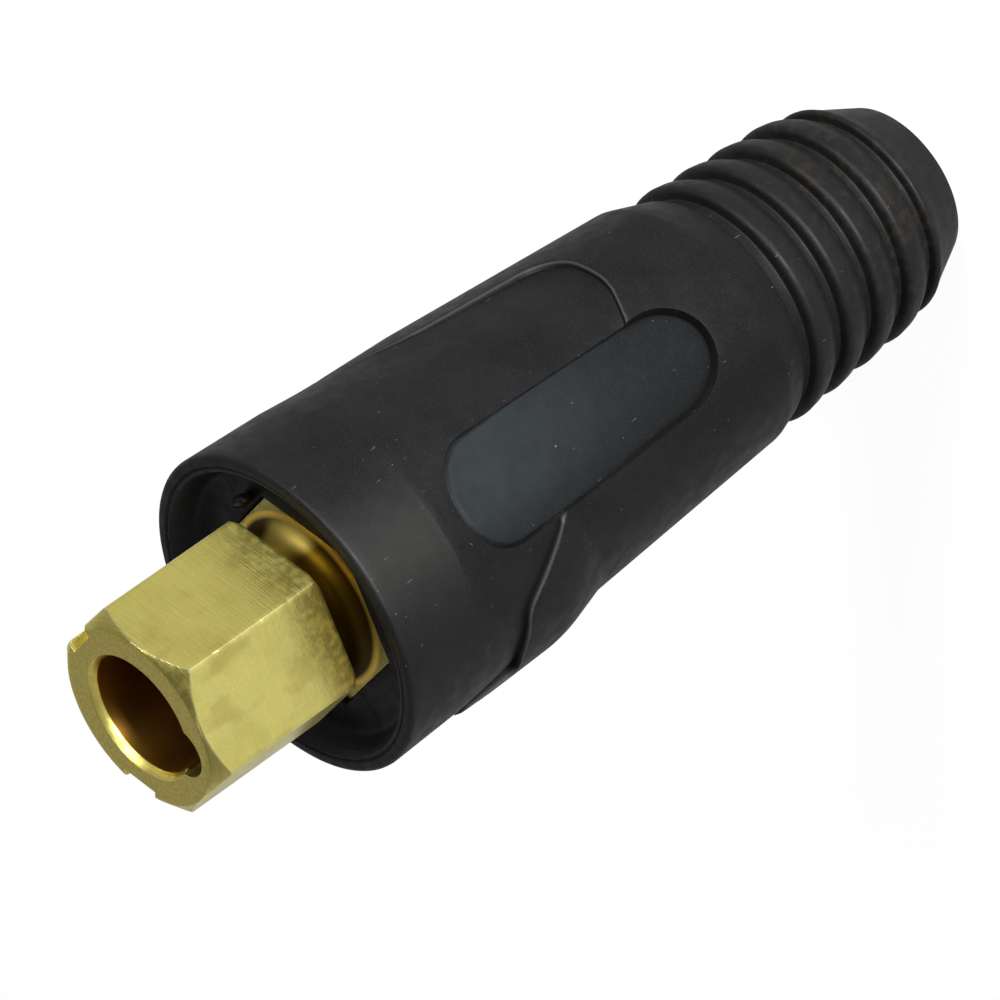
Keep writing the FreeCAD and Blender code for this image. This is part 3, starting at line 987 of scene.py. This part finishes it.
@dataclass
class ClampScrews:
    """Pair of hexagon socket grub screws in the barrel. Sizes in millimetres."""

    columns: int = 96
    radius: float = 3.95
    tip: float = 4.95
    end: float = 9.95
    chamfer: float = 0.4
    socket_flats: float = 4.0
    socket_depth: float = 2.5
    sharp_angle: float = 35.0
    turn: float = 250.5
    heights: tuple[float, float] = (56.0, 66.0)

    def section(self) -> list[tuple[float, float]]:
        """Section from the socket's bottom, over the end and down to the tip."""
        socket_r = self.socket_flats / 2
        floor = self.end - self.socket_depth
        return [
            (0.0, floor),
            (socket_r, floor),
            (socket_r, self.end - 0.25),
            (socket_r + 0.5, self.end),
            (self.radius - self.chamfer, self.end),
            (self.radius, self.end - self.chamfer),
            (self.radius, self.tip + 2 * self.chamfer),
            (self.radius - 2 * self.chamfer, self.tip),
            (0.0, self.tip),
        ]

    def mesh(self) -> bpy.types.Mesh:
        """Mesh of both screws, laid across the barrel."""
        pair = bmesh.new()
        for height in self.heights:
            one = spun(np.array(self.section()), self.columns, closed=False)
            self.open_socket(one)
            one.transform(
                Matrix.Translation((0, 0, height)) @ Matrix.Rotation(math.radians(self.turn), 4, "Z")
                @ Matrix.Rotation(math.pi / 2, 4, "Y")
            )
            pair.from_mesh(one)
            bpy.data.meshes.remove(one)
        return finish_shape(finished_mesh(pair, "pair"), self.sharp_angle)

    def open_socket(self, mesh: bpy.types.Mesh) -> None:
        """Draws the socket's wall out to a hexagon."""
        rows = rows_of(mesh)
        spots = places_of(mesh)
        turn = np.arctan2(spots[:, 1], spots[:, 0])
        radius = np.hypot(spots[:, 0], spots[:, 1])
        wall = (rows == 1) | (rows == 2)
        radius = np.where(wall, hexagon_radius(turn, self.socket_flats, 0.0), radius)
        put(mesh, turn, radius, spots[:, 2])


@dataclass
class CableFerrule:
    """Thin copper sleeve in the cable bore. Sizes in millimetres."""

    columns: int = 128
    inner_r: float = 4.2
    outer_r: float = 4.8
    bottom: float = 47.0
    top: float = 70.0
    edge: float = 0.15
    sharp_angle: float = 50.0

    def mesh(self) -> bpy.types.Mesh:
        """Mesh of the ferrule, its edges rounded."""
        section = rounded_path([
            (self.inner_r, self.bottom, self.edge),
            (self.outer_r, self.bottom, self.edge),
            (self.outer_r, self.top, self.edge),
            (self.inner_r, self.top, self.edge),
        ], closed=True, arc_steps=3)
        mesh = spun(section, self.columns, closed=True)
        mesh.attributes.remove(mesh.attributes[ROW])
        return finish_shape(mesh, self.sharp_angle)


class Graph:
    """Node tree of one material, with its shader and output. Lengths are given in millimetres."""

    def __init__(self, name: str) -> None:
        """Starts an empty tree with a Principled shader linked to the output."""
        self.material = bpy.data.materials.new(name)
        self.material.use_nodes = True
        self.tree = self.material.node_tree
        self.tree.nodes.clear()
        self.shader = self.node("ShaderNodeBsdfPrincipled")
        output = self.node("ShaderNodeOutputMaterial")
        self.tree.links.new(self.shader.outputs["BSDF"], output.inputs["Surface"])
        self.place = self.node("ShaderNodeTexCoord").outputs["Object"]
        parts = self.node("ShaderNodeSeparateXYZ")
        self.feed(parts.inputs[0], self.place)
        self.x, self.y, self.z = (self.math("MULTIPLY", part, 1 / MM) for part in parts.outputs)

    def node(self, kind: str, **properties: object) -> bpy.types.Node:
        """New node with its properties set."""
        node = self.tree.nodes.new(kind)
        for name, value in properties.items():
            setattr(node, name, value)
        return node

    def feed(self, socket: bpy.types.NodeSocket, value: object) -> None:
        """Links a socket to another, or sets its value."""
        if isinstance(value, bpy.types.NodeSocket):
            self.tree.links.new(value, socket)
        else:
            socket.default_value = value

    def math(self, operation: str, *values: object) -> bpy.types.NodeSocket:
        """Result of a math node on sockets or numbers."""
        node = self.node("ShaderNodeMath", operation=operation)
        for socket, value in zip(node.inputs, values):
            self.feed(socket, value)
        return node.outputs[0]

    def product(self, *values: object) -> bpy.types.NodeSocket:
        """Product of sockets and numbers."""
        result = values[0]
        for value in values[1:]:
            result = self.math("MULTIPLY", result, value)
        return result

    def length(self, first: object, second: object) -> bpy.types.NodeSocket:
        """Length of the hypotenuse over two sides."""
        squares = self.math("ADD", self.product(first, first), self.product(second, second))
        return self.math("SQRT", squares)

    def ramp(
        self, value: object, low: float, high: float, start: float = 0.0, end: float = 1.0,
    ) -> bpy.types.NodeSocket:
        """Value mapped smoothly from low..high to start..end."""
        node = self.node("ShaderNodeMapRange", interpolation_type="SMOOTHSTEP")
        names = ("Value", "From Min", "From Max", "To Min", "To Max")
        for name, setting in zip(names, (value, low, high, start, end)):
            self.feed(node.inputs[name], setting)
        return node.outputs["Result"]

    def band(self, value: object, low: float, high: float, blur: float) -> bpy.types.NodeSocket:
        """1 between low and high, and 0 outside, with soft ends."""
        rise = self.ramp(value, low - blur, low + blur)
        return self.product(rise, self.ramp(value, high - blur, high + blur, 1.0, 0.0))

    def mix(self, share: object, first: object, second: object) -> bpy.types.NodeSocket:
        """Mix of two colours."""
        node = self.node("ShaderNodeMix", data_type="RGBA")
        self.feed(node.inputs[0], share)
        self.feed(node.inputs[6], first)
        self.feed(node.inputs[7], second)
        return node.outputs[2]

    def blend(self, share: object, first: object, second: object) -> bpy.types.NodeSocket:
        """Mix of two numbers."""
        node = self.node("ShaderNodeMix", data_type="FLOAT")
        self.feed(node.inputs[0], share)
        self.feed(node.inputs[2], first)
        self.feed(node.inputs[3], second)
        return node.outputs[0]

    def noise(
        self, size: float, detail: float = 2.0, stretch: Corner = (1, 1, 1), turn: Corner = (0, 0, 0),
    ) -> bpy.types.NodeSocket:
        """Noise with features of about the given size.

        Args:
            size: size of the features in millimetres.
            detail: octaves of finer noise.
            stretch: how much finer the noise is along each axis.
            turn: turn of the coordinates in radians, before the stretch.

        Returns:
            Socket of the noise, about 0.5 on average.
        """
        place = self.node("ShaderNodeMapping", vector_type="POINT")
        self.feed(place.inputs["Vector"], self.place)
        place.inputs["Scale"].default_value = stretch
        place.inputs["Rotation"].default_value = turn
        node = self.node("ShaderNodeTexNoise")
        self.feed(node.inputs["Vector"], place.outputs["Vector"])
        node.inputs["Scale"].default_value = 1 / (size * MM)
        node.inputs["Detail"].default_value = detail
        return node.outputs["Fac"]

    def bump(self, height: object, depth: float, under: object = None) -> bpy.types.NodeSocket:
        """Normal bumped by a height of 0 to 1 that stands for a depth."""
        node = self.node("ShaderNodeBump")
        node.inputs["Strength"].default_value = 1.0
        node.inputs["Distance"].default_value = depth * MM
        self.feed(node.inputs["Height"], height)
        if under is not None:
            self.feed(node.inputs["Normal"], under)
        return node.outputs["Normal"]


@dataclass(frozen=True)
class RubberFinish:
    """Satin black moulded rubber with fine grain, small specks and dust on the ribs; painted highlights on
    the bell, pad and raised edges, painted shade in the creases and at the pad's rear.
    """

    tone: Colour = (0.0024, 0.0025, 0.0027, 1.0)
    worn_tone: Colour = (0.0048, 0.0050, 0.0054, 1.0)
    pad_finish_and_highlight_tone: Colour = (0.0118, 0.0150, 0.0165, 1.0)
    pad_shade_tone: Colour = (0.0046, 0.0051, 0.0054, 1.0)
    bell_highlight_tone: Colour = (0.0128, 0.0129, 0.0120, 1.0)
    boot_tone: Colour = (0.0052, 0.0053, 0.0056, 1.0)
    grain_tone: Colour = (0.024, 0.024, 0.025, 1.0)
    crease_shade_tone: Colour = (0.0008, 0.0008, 0.0008, 1.0)
    rim_highlight_tone: Colour = (0.034, 0.035, 0.036, 1.0)
    dust_tone: Colour = (0.019, 0.014, 0.008, 1.0)
    speck_tone: Colour = (0.16, 0.16, 0.155, 1.0)
    roughness: float = 0.50
    specular: float = 0.13
    grain_size: float = 0.22
    grain_depth: float = 0.010
    pad_middle: float = 55.85
    pad_straight: float = 12.1
    pad_half: float = 5.6
    collar: float = 76.7
    boot_top: float = 27.3
    dust_reach: tuple[float, float] = (29.0, 10.0)
    bell_highlight_band: tuple[float, float, float] = (-4.0, 4.5, 6.0)
    bell_highlight_lip_fade: tuple[float, float] = (88.0, 85.5)
    pad_shade_reach: tuple[float, float] = (44.0, 68.0)

    def material(self) -> bpy.types.Material:
        """Builds the material."""
        graph = Graph("sleeve_rubber")
        pad, bell = self.pad_share(graph), graph.ramp(graph.z, self.collar - 0.1, self.collar + 0.1)
        tone = graph.mix(graph.ramp(graph.noise(9.0, 4.0), 0.35, 0.7), self.tone, self.worn_tone)
        tone = graph.mix(graph.ramp(graph.z, self.boot_top, self.boot_top - 0.5), tone, self.boot_tone)
        # Painted highlight: the bell is lighter in a band across its camera-facing side, fading out towards
        # the lip.
        painted_sheen = graph.product(
            bell, graph.band(graph.x, *self.bell_highlight_band), graph.ramp(graph.z, *self.bell_highlight_lip_fade),
        )
        tone = graph.mix(painted_sheen, tone, self.bell_highlight_tone)
        # The pad's lighter bluish tone is partly its finer finish and partly a painted highlight; it turns
        # to painted shade towards the pad's rear end and its -X edge.
        front = graph.product(
            graph.ramp(graph.z, *self.pad_shade_reach),
            graph.ramp(graph.x, -self.pad_half - 0.4, -0.5, 0.25, 1.0),
            graph.ramp(graph.noise(4.0, 4.0), 0.3, 0.65, 0.7, 1.0),
        )
        tone = graph.mix(pad, tone, graph.mix(front, self.pad_shade_tone, self.pad_finish_and_highlight_tone))
        rear = graph.product(graph.ramp(graph.z, *self.dust_reach), graph.ramp(graph.z, 2.0, 7.0, 0.3, 1.0))
        dust = graph.product(rear, graph.ramp(graph.noise(1.1, 6.0), 0.45, 0.7), 0.55)
        tone = graph.mix(dust, tone, self.dust_tone)
        grains = graph.ramp(graph.noise(0.2, 2.0), 0.5, 0.72, 0.0, 0.2)
        tone = graph.mix(grains, tone, self.grain_tone)
        specks = graph.ramp(graph.noise(0.45, 1.0), 0.80, 0.83)
        scratches = graph.ramp(graph.noise(0.9, 1.0, (3.0, 3.0, 0.45), (0.5, 0.3, 0.2)), 0.79, 0.80)
        marks = graph.math("MAXIMUM", specks, graph.product(scratches, 0.35))
        tone = graph.mix(graph.product(marks, 0.6), tone, self.speck_tone)
        # Painted shade: near black in the pad's rear crease and along the scoop below the shell's edge,
        # where the step shades it.
        crease_shade = graph.node("ShaderNodeAttribute", attribute_name="crease_shade").outputs["Fac"]
        tone = graph.mix(graph.ramp(crease_shade, 0.05, 0.8), tone, self.crease_shade_tone)
        # Painted highlight: a thin light line along the raised edges of the shell and the pad.
        rim = graph.node("ShaderNodeAttribute", attribute_name="rim").outputs["Fac"]
        tone = graph.mix(graph.ramp(rim, 0.35, 1.0), tone, self.rim_highlight_tone)
        graph.feed(graph.shader.inputs["Base Color"], tone)
        satin = graph.ramp(graph.noise(1.6, 5.0), 0.3, 0.7, self.roughness - 0.05, self.roughness + 0.07)
        satin = graph.blend(pad, satin, graph.math("SUBTRACT", satin, 0.05))
        satin = graph.blend(graph.ramp(crease_shade, 0.05, 0.8), satin, 0.8)
        graph.feed(graph.shader.inputs["Roughness"], satin)
        graph.shader.inputs["Specular IOR Level"].default_value = self.specular
        parting = graph.ramp(graph.math("ABSOLUTE", graph.y), 0.0, 0.12, 1.0, 0.0)
        seam = graph.bump(parting, 0.04)
        waves = graph.bump(graph.noise(7.0, 2.0), 0.10, seam)
        grain = graph.bump(graph.noise(self.grain_size, 3.0), self.grain_depth, waves)
        graph.feed(graph.shader.inputs["Normal"], grain)
        return graph.material

    def pad_share(self, graph: Graph) -> bpy.types.NodeSocket:
        """1 inside the oval pads' outline."""
        along = graph.math("ABSOLUTE", graph.math("SUBTRACT", graph.z, self.pad_middle))
        past = graph.math("MAXIMUM", graph.math("SUBTRACT", along, self.pad_straight), 0.0)
        return graph.ramp(graph.length(graph.x, past), self.pad_half - 0.1, self.pad_half + 0.15, 1.0, 0.0)


@dataclass(frozen=True)
class BrassFinish:
    """Milled brass: satin flats, one lined and one pitted, with painted shade at the lighter flat's rear,
    matt face, painted shade and highlights on the neck, and brown bore.
    """

    tone: Colour = (0.60, 0.535, 0.155, 1.0)
    dull_tone: Colour = (0.47, 0.405, 0.10, 1.0)
    bright_tone: Colour = (0.80, 0.74, 0.36, 1.0)
    light_tone: Colour = (0.70, 0.63, 0.20, 1.0)
    edge_tone: Colour = (0.98, 0.93, 0.62, 1.0)
    stain_and_shade_tone: Colour = (0.30, 0.22, 0.04, 1.0)
    face_tone: Colour = (0.60, 0.485, 0.125, 1.0)
    neck_shade_tone: Colour = (0.055, 0.030, 0.002, 1.0)
    painted_sheen_tone: Colour = (0.52, 0.40, 0.09, 1.0)
    rim_highlight_tone: Colour = (0.95, 0.66, 0.12, 1.0)
    bore_tone: Colour = (0.50, 0.27, 0.045, 1.0)
    roughness: float = 0.36
    face_roughness: float = 0.5
    neck_roughness: float = 0.46
    bore_roughness: float = 0.3
    face: float = 106.0
    neck: float = 83.33
    neck_top: float = 87.8
    neck_rim_r: float = 9.86
    bore_r: float = 7.02
    light_turn: float = 250.5
    inradius: float = 10.0
    painted_shade_reach: tuple[float, float] = (93.5, 88.0)
    rough_reach: tuple[float, float] = (92.5, 88.5)
    neck_highlight_band: tuple[float, float, float] = (5.2, 8.2, 1.2)

    def material(self) -> bpy.types.Material:
        """Builds the material."""
        graph = Graph("contact_brass")
        graph.shader.inputs["Metallic"].default_value = 1.0
        radius = graph.length(graph.x, graph.y)
        in_bore = graph.product(
            graph.ramp(radius, self.bore_r - 0.02, self.bore_r + 0.02, 1.0, 0.0),
            graph.ramp(graph.z, self.face - 0.95, self.face - 0.85, 1.0, 0.0),
        )
        on_neck = graph.product(
            graph.ramp(radius, self.neck_rim_r - 0.03, self.neck_rim_r + 0.01, 1.0, 0.0),
            graph.band(graph.z, self.neck + 0.01, self.neck_top - 0.01, 0.02),
        )
        on_face = graph.ramp(graph.z, self.face - 0.03, self.face - 0.01)
        mottle = graph.ramp(graph.noise(0.8, 6.0), 0.42, 0.62)
        lines = graph.noise(1.0, 3.0, (0.22, 0.22, 7.0))
        patches = graph.ramp(graph.noise(5.0, 3.0), 0.4, 0.65)
        share = graph.math("ADD", graph.product(mottle, 0.35), graph.product(patches, 0.3))
        on_light = self.on_light_flat(graph)
        fine = graph.blend(on_light, 0.4, 0.12)
        share = graph.math("ADD", share, graph.product(graph.ramp(lines, 0.35, 0.65), fine))
        tone = graph.mix(share, graph.mix(on_light, self.tone, self.light_tone), self.dull_tone)
        # Painted shade: the lighter flat darkens towards its rear next to the neck, standing in for the
        # dark bell reflected there; random stains share the colour.
        painted_rear_shade = graph.product(graph.ramp(graph.z, *self.painted_shade_reach), on_light, 0.9)
        stains = graph.product(graph.ramp(graph.noise(3.5, 5.0, (1.0, 1.0, 0.6)), 0.52, 0.68), 0.3)
        tone = graph.mix(graph.math("MAXIMUM", painted_rear_shade, stains), tone, self.stain_and_shade_tone)
        marks = graph.ramp(graph.noise(0.6, 1.0, (1.0, 1.0, 3.0)), 0.76, 0.8)
        tone = graph.mix(graph.product(marks, 0.7), tone, self.bright_tone)
        speckle = graph.ramp(graph.noise(0.35, 4.0), 0.4, 0.62)
        tone = graph.mix(on_face, tone, graph.mix(speckle, self.face_tone, self.dull_tone))
        # Painted light on the neck: painted shade over the groove, a painted highlight patch on one side,
        # and a thin painted highlight at the rim.
        painted_rim_highlight = graph.ramp(graph.z, self.neck + 0.03, self.neck + 0.3, 1.0, 0.0)
        painted_sheen = graph.product(graph.band(graph.x, *self.neck_highlight_band), graph.ramp(graph.y, -1.0, -3.0))
        turned = graph.mix(painted_sheen, self.neck_shade_tone, self.painted_sheen_tone)
        tone = graph.mix(on_neck, tone, graph.mix(painted_rim_highlight, turned, self.rim_highlight_tone))
        tone = graph.mix(in_bore, tone, self.bore_tone)
        edge = graph.node("ShaderNodeAttribute", attribute_name="edge").outputs["Fac"]
        tone = graph.mix(graph.ramp(edge, 0.45, 1.0), tone, self.edge_tone)
        graph.feed(graph.shader.inputs["Base Color"], tone)
        rough = graph.math("ADD", graph.product(mottle, 0.08), self.roughness - 0.04)
        rough = graph.math("ADD", rough, graph.ramp(graph.z, *self.rough_reach, 0.0, 0.08))
        rough = graph.blend(on_face, rough, self.face_roughness)
        rough = graph.blend(on_neck, rough, self.neck_roughness)
        rough = graph.blend(in_bore, rough, self.bore_roughness)
        graph.feed(graph.shader.inputs["Roughness"], rough)
        plain = graph.math("SUBTRACT", 1.0, graph.math("MAXIMUM", on_neck, in_bore))
        lined = graph.product(plain, graph.math("SUBTRACT", 1.0, on_face), graph.blend(on_light, 1.0, 0.35))
        milled = graph.bump(graph.product(lines, lined), 0.024)
        pitted = graph.bump(graph.product(graph.noise(0.55, 4.0), on_light), 0.018, milled)
        grain = graph.bump(graph.product(graph.noise(0.16, 2.0), plain), 0.010, pitted)
        graph.feed(graph.shader.inputs["Normal"], grain)
        return graph.material

    def on_light_flat(self, graph: Graph) -> bpy.types.NodeSocket:
        """1 on the front hexagon's lighter flat, and 0 elsewhere."""
        turn = math.radians(self.light_turn)
        across = graph.math(
            "ADD", graph.product(graph.x, math.cos(turn)), graph.product(graph.y, math.sin(turn)),
        )
        near = graph.ramp(across, self.inradius - 0.1, self.inradius - 0.05)
        return graph.product(near, graph.ramp(graph.z, self.neck_top, self.neck_top + 0.1))


@dataclass(frozen=True)
class PlainMetalFinish:
    """Metal of the hidden pieces, with a fine mottle."""

    name: str
    tone: Colour
    dull_tone: Colour
    roughness: float

    def material(self) -> bpy.types.Material:
        """Builds the material."""
        graph = Graph(self.name)
        graph.shader.inputs["Metallic"].default_value = 1.0
        mottle = graph.ramp(graph.noise(1.2, 5.0), 0.35, 0.65)
        graph.feed(graph.shader.inputs["Base Color"], graph.mix(mottle, self.tone, self.dull_tone))
        rough = graph.math("ADD", graph.product(mottle, 0.1), self.roughness - 0.05)
        graph.feed(graph.shader.inputs["Roughness"], rough)
        graph.feed(graph.shader.inputs["Normal"], graph.bump(graph.noise(0.2, 3.0), 0.006))
        return graph.material


@dataclass(frozen=True)
class StudioView:
    """Camera at the photograph's angle. Lengths in millimetres."""

    place: tuple[float, float, float] = (66.815, -638.714, 434.210)
    ahead: tuple[float, float, float] = (-0.09385, 0.85863, -0.50393)
    up: tuple[float, float, float] = (0.84277, -0.20096, -0.49936)
    focal_length: float = 272.4
    sensor: float = 36.0

    def build(self) -> None:
        """Adds the camera and makes it the scene's own."""
        data = bpy.data.cameras.new("camera")
        data.lens = self.focal_length
        data.sensor_width = self.sensor
        data.clip_start = 0.01
        data.clip_end = 100.0
        camera = bpy.data.objects.new("camera", data)
        bpy.context.scene.collection.objects.link(camera)
        ahead = Vector(self.ahead).normalized()
        right = ahead.cross(Vector(self.up)).normalized()
        basis = Matrix((right, right.cross(ahead), -ahead)).transposed()
        camera.matrix_world = Matrix.Translation(Vector(self.place) * MM) @ basis.to_4x4()
        bpy.context.scene.camera = camera


@dataclass(frozen=True)
class Lamp:
    """Square soft lamp: bearing from -Y towards +X and elevation in degrees, lengths in metres, watts."""

    name: str
    bearing: float
    elevation: float
    distance: float
    size: float
    power: float


@dataclass(frozen=True)
class Studio:
    """Pale floor, soft lamps, and a surrounding that is dimmer overhead."""

    middle: tuple[float, float, float] = (0.0, 0.0, 0.055)
    surround: float = 0.10
    horizon_seen: float = 0.8
    ceiling_seen: float = 0.12
    floor_glow: float = 0.9
    floor_in_gloss: float = 0.6
    floor_tone: float = 0.2
    floor_size: float = 30.0
    lamps: tuple[Lamp, ...] = (
        Lamp("key", 45.0, 32.0, 1.0, 0.45, 9.0),
        Lamp("front", 6.0, 4.0, 1.1, 0.35, 32.0),
    )

    def build(self) -> None:
        """Adds the camera, the floor, the lamps and the surrounding light."""
        StudioView().build()
        self.add_surround()
        self.add_floor()
        for lamp in self.lamps:
            self.add_lamp(lamp)

    def seen(self, tree: bpy.types.NodeTree) -> bpy.types.NodeSocket:
        """1 on what the camera sees directly, in gloss or through glass, and 0 otherwise."""
        path = tree.nodes.new("ShaderNodeLightPath")
        result = path.outputs["Is Camera Ray"]
        for name in ("Is Glossy Ray", "Is Transmission Ray"):
            node = tree.nodes.new("ShaderNodeMath")
            node.operation = "MAXIMUM"
            tree.links.new(result, node.inputs[0])
            tree.links.new(path.outputs[name], node.inputs[1])
            result = node.outputs[0]
        return result

    def add_surround(self) -> None:
        """Pale surrounding, dimmer as light than as it is seen, and dimmer overhead in gloss."""
        world = bpy.data.worlds.new("surround")
        world.use_nodes = True
        tree = world.node_tree
        ray = tree.nodes.new("ShaderNodeTexCoord").outputs["Generated"]
        parts = tree.nodes.new("ShaderNodeSeparateXYZ")
        tree.links.new(ray, parts.inputs[0])
        rise = tree.nodes.new("ShaderNodeMapRange")
        rise.interpolation_type = "SMOOTHSTEP"
        tree.links.new(parts.outputs["Z"], rise.inputs["Value"])
        rise.inputs["To Min"].default_value = self.horizon_seen
        rise.inputs["To Max"].default_value = self.ceiling_seen
        strength = tree.nodes.new("ShaderNodeMapRange")
        tree.links.new(self.seen(tree), strength.inputs["Value"])
        strength.inputs["To Min"].default_value = self.surround
        tree.links.new(rise.outputs["Result"], strength.inputs["To Max"])
        background = tree.nodes["Background"]
        background.inputs["Color"].default_value = (1, 1, 1, 1)
        tree.links.new(strength.outputs["Result"], background.inputs["Strength"])
        bpy.context.scene.world = world

    def add_floor(self) -> None:
        """Large pale floor that the plug stands on."""
        work = bmesh.new()
        bmesh.ops.create_grid(work, x_segments=1, y_segments=1, size=self.floor_size / 2)
        mesh = finished_mesh(work, "floor")
        floor = bpy.data.objects.new("floor", mesh)
        bpy.context.scene.collection.objects.link(floor)
        graph = Graph("pale_floor")
        graph.shader.inputs["Base Color"].default_value = (self.floor_tone,) * 3 + (1,)
        graph.shader.inputs["Roughness"].default_value = 1.0
        graph.shader.inputs["Specular IOR Level"].default_value = 0.0
        graph.shader.inputs["Emission Color"].default_value = (1, 1, 1, 1)
        direct = graph.node("ShaderNodeLightPath").outputs["Is Camera Ray"]
        level = graph.blend(direct, self.floor_glow * self.floor_in_gloss, self.floor_glow)
        glow = graph.product(self.seen(graph.tree), level)
        graph.feed(graph.shader.inputs["Emission Strength"], glow)
        mesh.materials.append(graph.material)

    def add_lamp(self, lamp: Lamp) -> None:
        """Square area lamp that looks at the plug."""
        data = bpy.data.lights.new(lamp.name, "AREA")
        data.shape = "SQUARE"
        data.size = lamp.size
        data.energy = lamp.power
        bearing, elevation = math.radians(lamp.bearing), math.radians(lamp.elevation)
        direction = Vector((
            math.sin(bearing) * math.cos(elevation),
            -math.cos(bearing) * math.cos(elevation),
            math.sin(elevation),
        ))
        light = bpy.data.objects.new(lamp.name, data)
        bpy.context.scene.collection.objects.link(light)
        light.location = Vector(self.middle) + direction * lamp.distance
        light.rotation_euler = direction.to_track_quat("Z", "Y").to_euler()


def main() -> None:
    """Builds the studio and every piece of the plug in order."""
    logging.basicConfig(level=logging.INFO)
    bpy.context.scene.view_settings.view_transform = "Standard"
    Studio().build()
    steel = PlainMetalFinish("screw_steel", (0.46, 0.46, 0.47, 1.0), (0.34, 0.34, 0.35, 1.0), 0.34)
    copper = PlainMetalFinish("ferrule_copper", (0.72, 0.36, 0.20, 1.0), (0.55, 0.24, 0.12, 1.0), 0.3)
    pieces = (
        ("sleeve_moulding", RubberSleeve(), Body.SLEEVE, Slot.RUBBER, RubberFinish(), "rubber_sleeve"),
        ("contact_bar", BrassContact(), Body.CONTACT, Slot.BRASS, BrassFinish(), "brass_contact"),
        ("grub_screws", ClampScrews(), Body.CONTACT, Slot.STEEL, steel, "clamp_screws"),
        ("ferrule_tube", CableFerrule(), Body.CONTACT, Slot.COPPER, copper, "cable_ferrule"),
    )
    for name, part, body, slot, finish, node in pieces:
        new_piece(name, part.mesh(), body, finish.material(), node)


if __name__ == "__main__":
    main()
